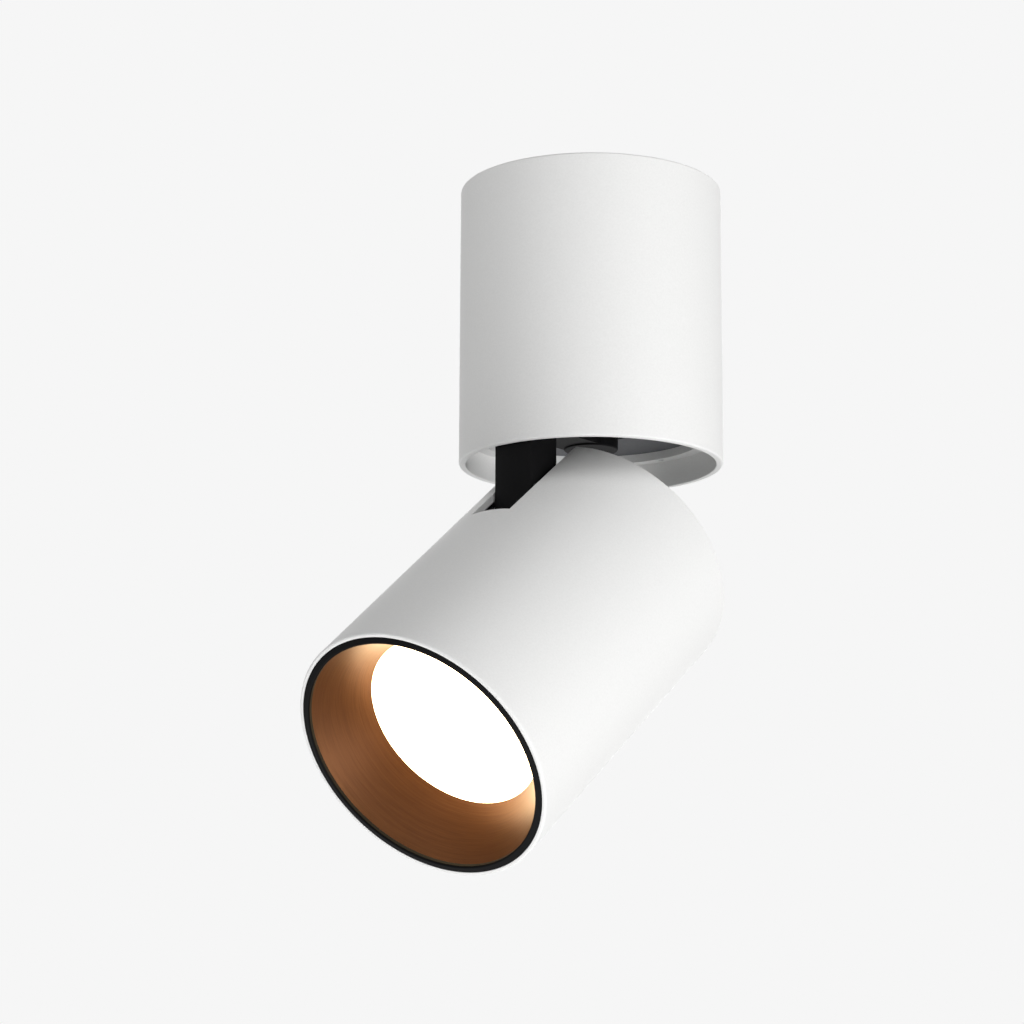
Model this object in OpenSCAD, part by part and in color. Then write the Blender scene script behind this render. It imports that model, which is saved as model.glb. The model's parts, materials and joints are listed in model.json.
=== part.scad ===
// Ceiling spotlight of two equal cylinders: a fixed canopy and a folding head.
// A black yoke turns under the canopy and carries the head on one thick leg.
// Millimetres. The origin is the centre of the ceiling face, +Z is up,
// and the head tilts towards -Y about an axis along X.

/* [Tubes] */
// Outer diameter of the canopy and of the head
tube_d = 75; // [73:1:90]
// Wall of both aluminium tubes
tube_wall = 2; // [1.6:0.1:2.4]
// Height of the canopy, from the ceiling to its open rim
canopy_h = 81; // [80:1:120]
// Length of the head's tube
head_len = 100.5; // [97:0.5:131]
// Rounding of the tubes' outer edges
edge_r = 0.6; // [0.3:0.1:1]

/* [Pose and pivot] */
// Tilt of the head as it is shown, from straight down
rest_tilt = 51; // [0:1:90]
// Gap between the canopy and the head when the head points straight down
head_gap = 1.5; // [1.3:0.1:3]
// Tilt pin's depth below the head's back end
pivot_depth = 20; // [18:0.5:22]
// Diameter of the tilt pin
pin_d = 5; // [4:0.5:6]

/* [Yoke] */
// Width of the leg and of the bar above it
leg_w = 12.8; // [11:0.2:14]
// Thickness of the leg, from its inner to its outer face
leg_t = 11.6; // [10:0.2:11.8]
// Free space between the leg's outer face and the canopy's inner wall
leg_clear = 0.6; // [0.5:0.1:1]
// Height of the bar's underside above the canopy's rim
bar_rise = 4.8; // [4:0.1:5.4]
// Thickness of the bar
bar_t = 4.2; // [3.8:0.1:4.6]
// How far the bar reaches past the swivel axis
bar_over = 4.1; // [3.5:0.1:6]
// Radius of the round boss on the swivel axis
boss_r = 7.7; // [7:0.1:8.2]
// Thickness of the boss, down from the bar's top
boss_t = 4.6; // [4:0.1:5.2]
// Outer radius of the hollow threaded neck
neck_r = 5; // [4.6:0.1:5.4]
// Radius of the hole down the neck for the lead
neck_bore_r = 2.6; // [2:0.1:3]
// Radius of the lead's channel in the bar and the leg
channel_r = 1.5; // [1.3:0.1:1.6]

/* [Canopy inside] */
// Height of the inner ledge above the rim
ledge_rise = 7.5; // [7:0.1:9]
// Thickness of the ledge
ledge_t = 2.4; // [2.2:0.1:3]
// Width of the ledge
ledge_w = 4; // [3.8:0.1:4.4]
// Thickness of the partition plate on the ledge
partition_t = 2.5; // [2.3:0.1:3.5]
// Radius of the circle that the stop pin runs on
stop_r = 11; // [10.6:0.1:12]
// Radius of the stop pin
stop_pin_r = 1.1; // [0.9:0.1:1.2]
// Half of the swing that the stop allows
swing = 165; // [120:5:165]
// Thickness of the ceiling plate
plate_t = 2; // [1.5:0.1:2.5]
// Distance between the two ceiling screws
screw_spacing = 48; // [44:1:50]
// Width of the ceiling screws' slots
slot_w = 4.4; // [4:0.2:5]
// Length of the ceiling screws' slots, end to end
slot_len = 8; // [7:0.5:9]
// Radius of the cable entry through the grommet
cable_r = 5; // [4:0.5:6]

/* [Driver] */
// Length of the driver's case
case_l = 48; // [46:1:52]
// Width of the driver's case
case_w = 29; // [27:1:32]
// Height of the driver's case with its lid
case_h = 25; // [24:0.5:26]
// Wall of the case
case_wall = 1.6; // [1.2:0.1:2]
// Clear height of the bracket under the driver
bracket_h = 13.6; // [13.4:0.1:15]
// Thickness of the bracket's steel
bracket_t = 1.2; // [1:0.1:1.5]
// Width of the bracket
bracket_w = 14; // [12:1:18]

/* [Head slot] */
// Length of the slot along the tube
slot_depth = 35.5; // [34.5:0.5:38]
// How much wider the slot is at the head's back end, on each side
slot_taper = 0.7; // [0:0.1:4.5]
// Play between the leg and the slot's closed end, each side
slot_play = 0.4; // [0.3:0.1:0.8]

/* [Head inside] */
// Depth of the back cover below the tube's end
cover_inset = 1; // [0.5:0.1:1.5]
// Thickness of the back cover
cover_t = 2; // [1.5:0.1:3]
// Depth at which the fins start
fin_start = 8; // [7:0.5:10]
// Depth of the heat sink's base plate
base_depth = 46; // [44:0.5:48]
// Thickness of the heat sink's base plate
base_t = 6; // [5:0.5:8]
// Thickness of each fin
fin_t = 1.5; // [1.2:0.1:2]
// Distance between fins
fin_pitch = 4.2; // [4:0.1:4.4]
// Thickness of the two ears that hold the tilt pin
ear_t = 4; // [3.5:0.1:4.2]
// Thickness of the friction washers
washer_t = 1.1; // [0.8:0.1:1.2]
// Side gap between a friction washer and the leg
side_gap = 0.2; // [0.1:0.05:0.3]

/* [Optics] */
// Depth of the lens behind the head's front end
lens_recess = 17; // [14:0.5:20]
// Radius of the lens that shows inside the cone
lens_show_r = 25.6; // [23:0.2:27]
// Thickness of the lens
lens_t = 2; // [1.5:0.1:3]
// Width of the front ring's face
ring_face = 2; // [1.9:0.1:2.4]
// Depth of the front ring's flange in the tube's mouth
ring_t = 1; // [0.8:0.1:1.5]
// Height of the ring's rounded inner edge in front of the tube
ring_crown = 0.3; // [0.2:0.05:0.5]
// Width of the tube's end that shows round the front ring
ring_margin = 1.15; // [1.05:0.05:1.3]
// Side of the square light-emitting board
led_side = 19; // [17:0.5:20]
// Radius of the light-emitting surface
led_r = 7.5; // [6:0.5:8]

/* [Hidden] */
$fn = 96;

// Clearances
fit = 0.05;
seat_gap = 0.25;
eps = 0.01;

// Places shared by the canopy and the yoke
tube_r = tube_d / 2;
inner_r = tube_r - tube_wall;
rim_z = -canopy_h;
ledge_z = rim_z + ledge_rise;
partition_z = ledge_z + ledge_t;
partition_top = partition_z + partition_t;
bar_z = rim_z + bar_rise;
bar_top = bar_z + bar_t;
leg_r = inner_r - leg_clear;
leg_in = leg_r - leg_t;
knuckle_r = leg_t;
knuckle_step = 0.3;
pivot_offset = leg_r - knuckle_r - knuckle_step;
head_top = rim_z - head_gap;
pivot_z = head_top - pivot_depth;
shoulder_drop = 0.3;
wash_gap = 0.1;
stop_angle = 26;
stop_depth = 1.6;

// Lead channel in the bar and the leg
mid_z = (bar_z + bar_top) / 2;
channel_y = leg_in + leg_t / 2 - 1.2;
channel_exit_z = pivot_z + knuckle_r + 1;
channel_over = 0.7;
drop_r = channel_r - 0.15;
bore_floor = 0.5;

// Swivel stack above the partition
stop_hold = 2.6;
stop_play = 0.2;
wave_t = 0.8;
wave_rise = 0.3;
wave_r = boss_r + 1;
swivel_nut_t = 5;
swivel_nut_af = 14;
neck_end = 1.2;
neck_top = partition_top + wash_gap + wave_t + swivel_nut_t + neck_end;
slip_r = boss_r + 0.8;
slip_t = partition_z - bar_top - wash_gap;

// Screw sizes
m25_r = 1.25;
m25_core_r = 1;
m25_head_r = 2.2;
m25_head_t = 1.6;
m3_r = 1.5;
m3_core_r = 1.25;
m3_head_r = 2.7;
m3_head_t = 1.8;
hole_play = 0.1;
socket_share = 0.55;

// Screws that hold the partition on the ledge
ledge_screw_angles = [60, 180, 300];
ledge_screw_r = inner_r - m25_head_r - 0.3;

// Canopy top
shadow_gap = 0.3;
plate_r = inner_r - seat_gap;
tab_t = 2;
tab_drop = 12;
tab_w = 12;
tab_angles = [0, 140, 220];
grub_angles = [140, 220];
grub_z = -plate_t - tab_drop / 2;
grub_tail = 0.5;
grub_socket = 1.2;
grub_len = grub_tail + tab_t + seat_gap + tube_wall - 0.2;
stud_r = 1.4;
stud_len = 1.1;
grommet_wall = 3;
grommet_lip = 2;
grommet_hole_r = cable_r + grommet_wall;
grommet_flange_r = grommet_hole_r + grommet_lip;
grommet_flange_t = 2;

// Terminal block
poles = 3;
pole_pitch = 7;
barrel_r = 2.5;
barrel_bore_r = 1.7;
block_l = poles * pole_pitch + 1;
block_w = 13;
block_h = 10;
block_edge = 14.25;
block_y = plate_r - block_edge;
block_tab = 6;
block_tab_t = 2.5;
barrel_z = -plate_t - block_h / 2;
clamp_r = 1.4;
clamp_y = 3.2;
clamp_sink = 0.8;
driver_slot_w = 0.6;
driver_slot_t = 0.8;
block_hold_x = block_l / 2 + block_tab / 2;
earth_edge = 9.75;
earth_angle = 48;
earth_from_axis = plate_r - earth_edge;
earth_at = [-earth_from_axis * sin(earth_angle), -earth_from_axis * cos(earth_angle)];
earth_r = 2;
earth_head_r = 3.8;
earth_head_t = 2.4;

// Driver stack
bracket_span = case_l - 6;
foot_l = 8;
foot_x = (bracket_span + foot_l) / 2;
foot_hole = 2;
bracket_top = partition_top + bracket_h;
case_z = bracket_top + bracket_t;
lid_t = 2;
lid_lip = 2.5;
lid_play = 0.15;
tray_h = case_h - lid_t;
lip_x = case_l / 2 - case_wall - lid_play;
lip_y = case_w / 2 - case_wall - lid_play;
board_t = 1.6;
board_rise = 4;
board_z = case_z + case_wall + board_rise;
board_top = board_z + board_t;
board_play = 0.4;
board_l = case_l - 2 * case_wall - 2 * board_play;
board_w = case_w - 2 * case_wall - 2 * board_play;
lead_r = 1.1;
port_play = 0.15;
port_r = lead_r + port_play;
port_rise = 3;
port_z = board_top + port_rise;
port_y = 6;
driver_screw_inset = 9;
driver_screw_x = case_l / 2 - driver_screw_inset;
driver_post_r = 3;
core_size = [14, 15, 11];
core_limb = 3;
core_x = 2;
choke_r = 4.2;
choke_hole_r = 1.6;
choke_h = 7;
choke_gap = 1.8;
choke_inset = 6;

// Each capacitor's radius, height and distances from the board's end and side
capacitor_corner = [[1, 1], [1, -1], [-1, -1]];
capacitor_r = [4, 3.2, 3];
capacitor_h = [12, 10, 9];
capacitor_end = [6, 5, 4];
capacitor_side = [7.5, 7, 6];

// Leads in the canopy: how far they reach past what they leave, enter or pass
lead_play = 0.15;
lead_entry = 0.5;
lead_leave = 1;
lead_grip = 1.5;
lead_near = 2.4;
lead_turn = 3;
lead_bow = 3.6;
lead_side = 4;
lead_run = 5;

// Head, measured from its back end
cover_r = inner_r - seat_gap;
cover_end = cover_inset + cover_t;
shelf_w = 1.2;
shelf_t = 2;
core_r = inner_r - shelf_w - 0.3;
ear_in = leg_w / 2 + side_gap + washer_t;
ear_out = ear_in + ear_t;
pocket_play = 0.4;
pocket_floor = pivot_offset - knuckle_r - pocket_play;
slot_end_w = leg_w + 2 * slot_play;
slot_open_w = slot_end_w + 2 * slot_taper;
base_front = base_depth + base_t;
fin_first = ear_out + 5.6;
fin_count = floor((core_r - fin_first - fin_t) / fin_pitch) + 1;
cover_screw_edge = 8.5;
cover_screw_r = inner_r - cover_screw_edge;
cover_screw_angles = [60, 180, 300];
cover_hole = 9;
post_r = 3.4;
pin_r = pin_d / 2;
pin_head_r = pin_r + 1.9;
pin_head_t = 2.8;
pin_way_r = pin_head_r + 1;
tilt_nut_af = pin_d * 1.6;
tilt_nut_t = 4;
washer_r = 7.5;
head_bore_r = 1.8;
head_bore_y = -16;

// Optical stack, measured from the head's back end
lens_front = head_len - lens_recess;
lens_back = lens_front - lens_t;
lens_r = lens_show_r + 1.4;
carrier_t = 2;
carrier_back = lens_back - carrier_t;
pad_t = 0.4;
board_led_t = 1.6;
emit_t = 0.6;
holder_r = 22;
holder_t = 5;
holder_hole_r = led_r + 2.5;
holder_screw_r = 17.5;
holder_tap = base_t - 1;
lead_way_w = 5.2;
lead_way_end = 2;
lead_way_wall = 0.6;
holder_front = base_front + holder_t;
cup_wall = 1;
cup_lip = 2.5;
cup_lap = 0.2;
carrier_lap = 0.6;
spacer_t = 1.6;
ring_out = tube_r - ring_margin;
ring_in = ring_out - ring_face;
ring_back = head_len - ring_t;
ring_bead = 0.5;
ring_skirt_h = 6;
cone_foot = 2.2;
cone_lap = 0.35;
cone_lip_t = 0.8;
ring_skirt_in = ring_in + cone_lap + fit;

// Leads inside the yoke and the head
lead_sides = 8;
thin_lead_r = 0.9;

// General shapes

// Pieces placed round the axis, counted from -Y towards +X
module round_axis(angles, r) {
  for (a = angles)
    rotate([0, 0, a]) translate([0, -r, 0]) children();
}

// Ring between two radii with its base at z = 0
module ring(r_out, r_in, h) {
  difference() {
    cylinder(r = r_out, h = h);
    translate([0, 0, -1]) cylinder(r = r_in, h = h + 2);
  }
}

// Profile of a tube's wall with both outer edges rounded
module wall_profile(h) {
  difference() {
    translate([inner_r, 0]) square([tube_wall, h]);
    for (end = [0, 1])
      translate([tube_r - edge_r, end * h + (1 - 2 * end) * edge_r])
        difference() {
          translate([0, end == 0 ? -edge_r - 1 : 0]) square([edge_r + 1, edge_r + 1]);
          circle(r = edge_r, $fn = 48);
        }
  }
}

// Screw with its head's underside at z = 0, its shank up and its head down
module screw_up(r, len, head_r, head_t) {
  translate([0, 0, -head_t / 4]) cylinder(r = r, h = len + head_t / 4, $fn = 32);
  difference() {
    translate([0, 0, -head_t]) cylinder(r = head_r, h = head_t, $fn = 40);
    translate([0, 0, -head_t - 1])
      cylinder(r = head_r * socket_share, h = head_t / 2 + 1, $fn = 6);
  }
}

// The same screw with its head up
module screw_down(r, len, head_r, head_t) {
  mirror([0, 0, 1]) screw_up(r, len, head_r, head_t);
}

// Hexagonal nut with its base at z = 0
module hex_nut(af, bore_r, h) {
  difference() {
    cylinder(r = af / sqrt(3), h = h, $fn = 6);
    translate([0, 0, -1]) cylinder(r = bore_r, h = h + 2, $fn = 48);
  }
}

// Point on a smooth curve through four points, between the middle two
function spline(p, t) = 0.5 * (2 * p[1] + (p[2] - p[0]) * t
  + (2 * p[0] - 5 * p[1] + 4 * p[2] - p[3]) * t * t
  + (3 * p[1] - p[0] - 3 * p[2] + p[3]) * t * t * t);

// A route's points with the curve between them filled in
function smooth_route(p, steps) = let (n = len(p)) concat(
  [for (i = [0 : n - 2], s = [0 : steps - 1])
    spline([p[max(i - 1, 0)], p[i], p[i + 1], p[min(i + 2, n - 1)]], s / steps)],
  [p[n - 1]]);

function unit(v) = v / norm(v);

// Direction of a route at one of its points
function along(q, i) = unit(q[min(i + 1, len(q) - 1)] - q[max(i - 1, 0)]);

// Side directions carried along the route without twist
function carry(q, i, s) = let (t = along(q, i), w = unit(s - (s * t) * t))
  i == len(q) - 1 ? [w] : concat([w], carry(q, i + 1, w));

// Insulated wire along a route
module wire(points, r, start_side) {
  q = smooth_route(points, 4);
  side = carry(q, 0, start_side);
  rings = len(q);
  skin = [for (i = [0 : rings - 1], k = [0 : lead_sides - 1])
    let (a = 360 * k / lead_sides, up = cross(along(q, i), side[i]))
      q[i] + r * (cos(a) * side[i] + sin(a) * up)];
  quads = [for (i = [0 : rings - 2], k = [0 : lead_sides - 1])
    let (k2 = (k + 1) % lead_sides)
      [i * lead_sides + k, (i + 1) * lead_sides + k,
       (i + 1) * lead_sides + k2, i * lead_sides + k2]];
  first = [for (k = [0 : lead_sides - 1]) k];
  last = [for (k = [lead_sides - 1 : -1 : 0]) (rings - 1) * lead_sides + k];
  polyhedron(skin, concat([first], quads, [last]));
}

// Moves a piece of the head from its own upright frame to the tilted one
module in_head() {
  translate([0, -pivot_offset, pivot_z])
    rotate([-rest_tilt, 0, 0])
      translate([0, pivot_offset, head_top - pivot_z])
        children();
}

// Places a piece at a depth below the head's back end, facing down
module at_depth(u) {
  translate([0, 0, -u]) mirror([0, 0, 1]) children();
}

// Slot through one side of the head, wider at the back end
module slot_cut(from_y) {
  over = 2;
  slope = slot_taper / slot_depth;
  top_half = slot_open_w / 2 + over * slope;
  translate([0, from_y, 0])
    rotate([90, 0, 0])
      linear_extrude(height = tube_r)
        polygon([
          [-top_half, over],
          [top_half, over],
          [slot_end_w / 2, -slot_depth],
          [-slot_end_w / 2, -slot_depth]
        ]);
}

// Canopy

module upper_shell() {
  color("whitesmoke")
    difference() {
      translate([0, 0, rim_z])
        rotate_extrude()
          wall_profile(canopy_h - shadow_gap);
      translate([0, 0, grub_z])
        round_axis(grub_angles, inner_r - 1)
          rotate([90, 0, 0]) cylinder(r = m3_r + hole_play, h = tube_wall + 2, $fn = 32);
      translate([0, 0, grub_z])
        round_axis([0], inner_r - 1)
          rotate([90, 0, 0]) cylinder(r = stud_r + hole_play, h = 1 + stud_len + hole_play, $fn = 32);
    }
}

// Ring pressed into the canopy, which carries the partition
module ledge_ring() {
  color("whitesmoke")
    difference() {
      translate([0, 0, ledge_z]) ring(inner_r - fit, inner_r - ledge_w, ledge_t);
      translate([0, 0, ledge_z - 1])
        round_axis(ledge_screw_angles, ledge_screw_r)
          cylinder(r = m25_core_r, h = ledge_t + 2, $fn = 32);
    }
}

module plate_tabs() {
  translate([0, 0, -plate_t - tab_drop])
    intersection() {
      ring(plate_r, plate_r - tab_t, tab_drop + eps);
      round_axis(tab_angles, plate_r)
        translate([-tab_w / 2, -tab_t, 0]) cube([tab_w, 3 * tab_t, tab_drop + eps]);
    }
}

module ceiling_plate() {
  color("silver")
    difference() {
      union() {
        translate([0, 0, -plate_t]) cylinder(r = plate_r, h = plate_t);
        plate_tabs();
        translate([0, -plate_r + tab_t / 2, grub_z])
          rotate([90, 0, 0])
            cylinder(r = stud_r, h = tab_t / 2 + seat_gap + stud_len, $fn = 32);
      }
      translate([0, 0, -plate_t - 1]) cylinder(r = grommet_hole_r, h = plate_t + 2);
      for (side = [-1, 1])
        translate([side * screw_spacing / 2, 0, -plate_t - 1])
          union() {
            for (end = [-1, 1])
              translate([end * (slot_len - slot_w) / 2, 0, 0])
                cylinder(r = slot_w / 2, h = plate_t + 2, $fn = 48);
            translate([-(slot_len - slot_w) / 2, -slot_w / 2, 0])
              cube([slot_len - slot_w, slot_w, plate_t + 2]);
          }
      translate([0, 0, grub_z])
        round_axis(grub_angles, plate_r - tab_t - 1)
          rotate([90, 0, 0]) cylinder(r = m3_r + fit, h = tab_t + 2, $fn = 32);
      translate([earth_at[0], earth_at[1], -plate_t - 1])
        cylinder(r = earth_r + fit, h = plate_t + 2, $fn = 32);
      translate([block_hold_x, block_y, -plate_t - 1])
        cylinder(r = m3_r + fit, h = plate_t + 2, $fn = 32);
    }
}

module cable_grommet() {
  color("dimgray")
    difference() {
      union() {
        translate([0, 0, -plate_t - grommet_flange_t])
          cylinder(r = grommet_flange_r, h = grommet_flange_t);
        translate([0, 0, -plate_t - eps])
          cylinder(r = grommet_hole_r - hole_play, h = plate_t + eps);
      }
      translate([0, 0, -plate_t - grommet_flange_t - 1])
        cylinder(r = cable_r, h = plate_t + grommet_flange_t + 2);
    }
}

module grub_screws() {
  color("gray")
    translate([0, 0, grub_z])
      round_axis(grub_angles, plate_r - tab_t - grub_tail)
        rotate([90, 0, 0])
          difference() {
            cylinder(r = m3_r, h = grub_len, $fn = 32);
            translate([0, 0, grub_len - grub_socket])
              cylinder(r = m3_r * socket_share, h = grub_socket + 1, $fn = 6);
          }
}

module terminal_block() {
  color("ivory")
    difference() {
      union() {
        translate([-block_l / 2, block_y - block_w / 2, -plate_t - block_h])
          cube([block_l, block_w, block_h]);
        translate([block_l / 2 - eps, block_y - block_w / 4, -plate_t - block_tab_t])
          cube([block_tab + eps, block_w / 2, block_tab_t]);
      }
      for (k = [0 : poles - 1])
        translate([(k - (poles - 1) / 2) * pole_pitch, block_y, barrel_z]) {
          rotate([90, 0, 0])
            cylinder(r = barrel_r + fit, h = block_w + 2, center = true, $fn = 40);
          for (side = [-1, 1])
            translate([0, side * clamp_y, -block_h / 2 - 1])
              cylinder(r = clamp_r + 0.5, h = block_h / 2 + 1, $fn = 32);
        }
      translate([block_hold_x, block_y, -plate_t - block_tab_t - 1])
        cylinder(r = m3_r + hole_play, h = block_tab_t + 2, $fn = 32);
    }
}

module terminal_barrels() {
  color("gold")
    for (k = [0 : poles - 1])
      translate([(k - (poles - 1) / 2) * pole_pitch, block_y, barrel_z])
        difference() {
          rotate([90, 0, 0])
            cylinder(r = barrel_r, h = block_w - 1.5, center = true, $fn = 40);
          rotate([90, 0, 0])
            cylinder(r = barrel_bore_r, h = block_w, center = true, $fn = 40);
          for (side = [-1, 1])
            translate([0, side * clamp_y, -block_h])
              cylinder(r = clamp_r + fit, h = block_h, $fn = 32);
        }
}

module terminal_screws() {
  color("lightgray")
    for (k = [0 : poles - 1])
      for (side = [-1, 1])
        translate([(k - (poles - 1) / 2) * pole_pitch, block_y + side * clamp_y, barrel_z])
          difference() {
            translate([0, 0, -block_h / 2 + clamp_sink])
              cylinder(r = clamp_r, h = block_h / 2 - clamp_sink - lead_r - fit, $fn = 32);
            translate([-clamp_r - 1, -driver_slot_w / 2, -block_h / 2])
              cube([2 * clamp_r + 2, driver_slot_w, clamp_sink + driver_slot_t]);
          }
}

module block_screw() {
  color("silver")
    translate([block_hold_x, block_y, -plate_t - block_tab_t])
      screw_up(m3_r, block_tab_t + plate_t - 0.4, m3_head_r, m3_head_t);
}

module earth_screw() {
  color("gold")
    translate([earth_at[0], earth_at[1], -plate_t])
      screw_up(earth_r, plate_t - 0.2, earth_head_r, earth_head_t);
}

// Groove under the partition that stops the swing at both ends
module stop_groove() {
  half = stop_pin_r + stop_play;
  rotate([0, 0, -90 + stop_angle - swing - 0.5])
    rotate_extrude(angle = 2 * swing + 1)
      translate([stop_r - half, 0]) square([2 * half, stop_depth]);
  for (end = [-1, 1])
    rotate([0, 0, stop_angle + end * (swing + 0.5)])
      translate([0, -stop_r, 0]) cylinder(r = half - fit, h = stop_depth, $fn = 40);
}

module partition() {
  color("gray")
    difference() {
      translate([0, 0, partition_z]) cylinder(r = inner_r - seat_gap, h = partition_t);
      translate([0, 0, partition_z - 1]) cylinder(r = neck_r + fit, h = partition_t + 2);
      translate([0, 0, partition_z - eps]) stop_groove();
      translate([0, 0, partition_z - 1])
        round_axis(ledge_screw_angles, ledge_screw_r)
          cylinder(r = m25_r + hole_play, h = partition_t + 2, $fn = 32);
      for (side = [-1, 1])
        translate([side * foot_x, 0, partition_top - foot_hole])
          cylinder(r = m3_core_r, h = foot_hole + 1, $fn = 32);
    }
}

module partition_screws() {
  color("silver")
    translate([0, 0, partition_top])
      round_axis(ledge_screw_angles, ledge_screw_r)
        screw_down(m25_core_r - fit, partition_t + ledge_t - 0.3, m25_head_r, m25_head_t);
}

module driver_bracket() {
  color("silver")
    difference() {
      union() {
        translate([-bracket_span / 2, -bracket_w / 2, bracket_top])
          cube([bracket_span, bracket_w, bracket_t]);
        for (side = [-1, 1]) {
          translate([side * (bracket_span - bracket_t) / 2, 0, partition_top + bracket_h / 2])
            cube([bracket_t, bracket_w, bracket_h], center = true);
          translate([side * foot_x, 0, partition_top + bracket_t / 2])
            cube([foot_l + 2 * bracket_t, bracket_w, bracket_t], center = true);
        }
      }
      for (side = [-1, 1]) {
        translate([side * foot_x, 0, partition_top - 1])
          cylinder(r = m3_r + hole_play, h = bracket_t + 2, $fn = 32);
        translate([side * driver_screw_x, 0, bracket_top - 1])
          cylinder(r = m25_r + hole_play, h = bracket_t + 2, $fn = 32);
      }
    }
}

module bracket_screws() {
  color("lightgray")
    for (side = [-1, 1])
      translate([side * foot_x, 0, partition_top + bracket_t])
        screw_down(m3_core_r - fit, bracket_t + foot_hole - 0.2, m3_head_r, m3_head_t);
}

module driver_case() {
  color("white")
    difference() {
      union() {
        difference() {
          translate([-case_l / 2, -case_w / 2, case_z]) cube([case_l, case_w, tray_h]);
          translate([-case_l / 2 + case_wall, -case_w / 2 + case_wall, case_z + case_wall])
            cube([case_l - 2 * case_wall, case_w - 2 * case_wall, case_h]);
        }
        for (side = [-1, 1])
          translate([side * driver_screw_x, 0, case_z + case_wall - eps])
            cylinder(r = driver_post_r, h = board_rise + eps, $fn = 40);
      }
      for (side = [-1, 1])
        translate([side * driver_screw_x, 0, case_z - 1])
          cylinder(r = m25_core_r, h = case_wall + board_rise, $fn = 32);
      for (y = [0, port_y])
        translate([-case_l / 2 - 1, y, port_z])
          rotate([0, 90, 0]) cylinder(r = port_r, h = case_wall + 2, $fn = 32);
      translate([case_l / 2 + 1, 0, port_z])
        rotate([0, -90, 0]) cylinder(r = port_r, h = case_wall + 2, $fn = 32);
    }
}

module driver_screws() {
  color("lightgray")
    for (side = [-1, 1])
      translate([side * driver_screw_x, 0, bracket_top])
        screw_up(m25_core_r - fit, bracket_t + case_wall + board_rise - 1.5, m25_head_r, m25_head_t);
}

module driver_lid() {
  color("white")
    union() {
      translate([-case_l / 2, -case_w / 2, case_z + tray_h]) cube([case_l, case_w, lid_t]);
      difference() {
        translate([-lip_x, -lip_y, case_z + tray_h - lid_lip])
          cube([2 * lip_x, 2 * lip_y, lid_lip + eps]);
        translate([case_wall - lip_x, case_wall - lip_y, case_z + tray_h - lid_lip - 1])
          cube([2 * (lip_x - case_wall), 2 * (lip_y - case_wall), lid_lip + 1]);
      }
    }
}

module driver_board() {
  color("seagreen")
    translate([-board_l / 2, -board_w / 2, board_z]) cube([board_l, board_w, board_t]);
}

// Ferrite core round a bobbin, with the winding showing between its legs
module driver_transformer() {
  winding = core_size[1] - 2 * core_limb + 1;
  color("dimgray")
    translate([core_x, 0, board_top]) {
      difference() {
        translate([-core_size[0] / 2, -core_size[1] / 2, 0]) cube(core_size);
        for (side = [-1, 1])
          translate([0, side * core_size[1] / 4, core_size[2] / 2])
            cube([core_size[0] + 2, core_size[1] / 2 - core_limb,
                  core_size[2] - 2 * core_limb + 1], center = true);
      }
      translate([0, 0, core_size[2] / 2])
        difference() {
          cube([core_size[0] - 2, winding, core_size[2] - 2 * core_limb + 0.6], center = true);
          cube([core_size[0], core_limb, core_size[2]], center = true);
        }
    }
}

module driver_capacitors() {
  color("darkslateblue")
    for (k = [0 : 2])
      translate([
        capacitor_corner[k][0] * (board_l / 2 - capacitor_end[k]),
        capacitor_corner[k][1] * (board_w / 2 - capacitor_side[k]),
        board_top
      ])
        cylinder(r = capacitor_r[k], h = capacitor_h[k], $fn = 48);
}

module driver_choke() {
  color("peru")
    translate([
      core_x - core_size[0] / 2 - choke_gap - choke_r, board_w / 2 - choke_inset, board_top
    ])
      ring(choke_r, choke_hole_r, choke_h);
}

// Line and neutral, from the terminal block down to the driver's input end
module mains_leads() {
  out = block_y - block_w / 2;
  top = case_z + case_h;
  color("saddlebrown")
    for (k = [0, 1])
      let (x = (k - 1) * pole_pitch, y = port_y * (1 - k))
        wire([
          [x, block_y - lead_grip, barrel_z],
          [x, out - lead_leave, barrel_z],
          [x - lead_side, out - lead_run - lead_turn * k, barrel_z - lead_turn],
          [-case_l / 2 + lead_turn, y + lead_leave, top + lead_near + lead_leave],
          [-case_l / 2 - lead_turn, y, top + lead_leave],
          [-case_l / 2 - lead_bow, y, top - lead_side],
          [-case_l / 2 - lead_near, y, port_z + lead_grip],
          [-case_l / 2 + case_wall + lead_entry, y, port_z]
        ], lead_r, [0, 0, 1]);
}

// Earth wire, from the terminal block to its screw
module earth_lead() {
  out = block_y - block_w / 2;
  color("yellowgreen")
    wire([
      [pole_pitch, block_y - lead_grip, barrel_z],
      [pole_pitch, out - lead_leave, barrel_z],
      [pole_pitch - lead_leave, out - 2 * lead_side, barrel_z - lead_turn],
      [0, earth_at[1] / 2, barrel_z - 2 * lead_leave],
      [earth_at[0] / 2, earth_at[1] + 2 * lead_leave, -plate_t - earth_head_t - 2 * lead_leave],
      [earth_at[0] + earth_head_r + lead_entry, earth_at[1] + lead_leave,
       -plate_t - lead_r - lead_play]
    ], lead_r, [1, 0, 0]);
}

// Twin lead from the driver's output end to the mouth of the neck
module output_lead() {
  color("dimgray")
    wire([
      [case_l / 2 - case_wall - lead_entry, 0, port_z],
      [case_l / 2 + lead_near, lead_leave, port_z - lead_grip],
      [case_l / 2 + lead_bow, 2 * lead_side, case_z - lead_leave],
      [case_l / 2 - 2 * lead_turn, bracket_w / 2 + 2 * lead_turn, bracket_top - lead_side],
      [bracket_w / 2 + 2 * lead_leave, bracket_w / 2 + 2 * lead_leave,
       bracket_top - lead_side - lead_entry],
      [lead_leave, lead_leave, bracket_top - lead_side],
      [0, 0, neck_top + lead_play + seat_gap]
    ], lead_r, [0, 1, 0]);
}

// Yoke

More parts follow.
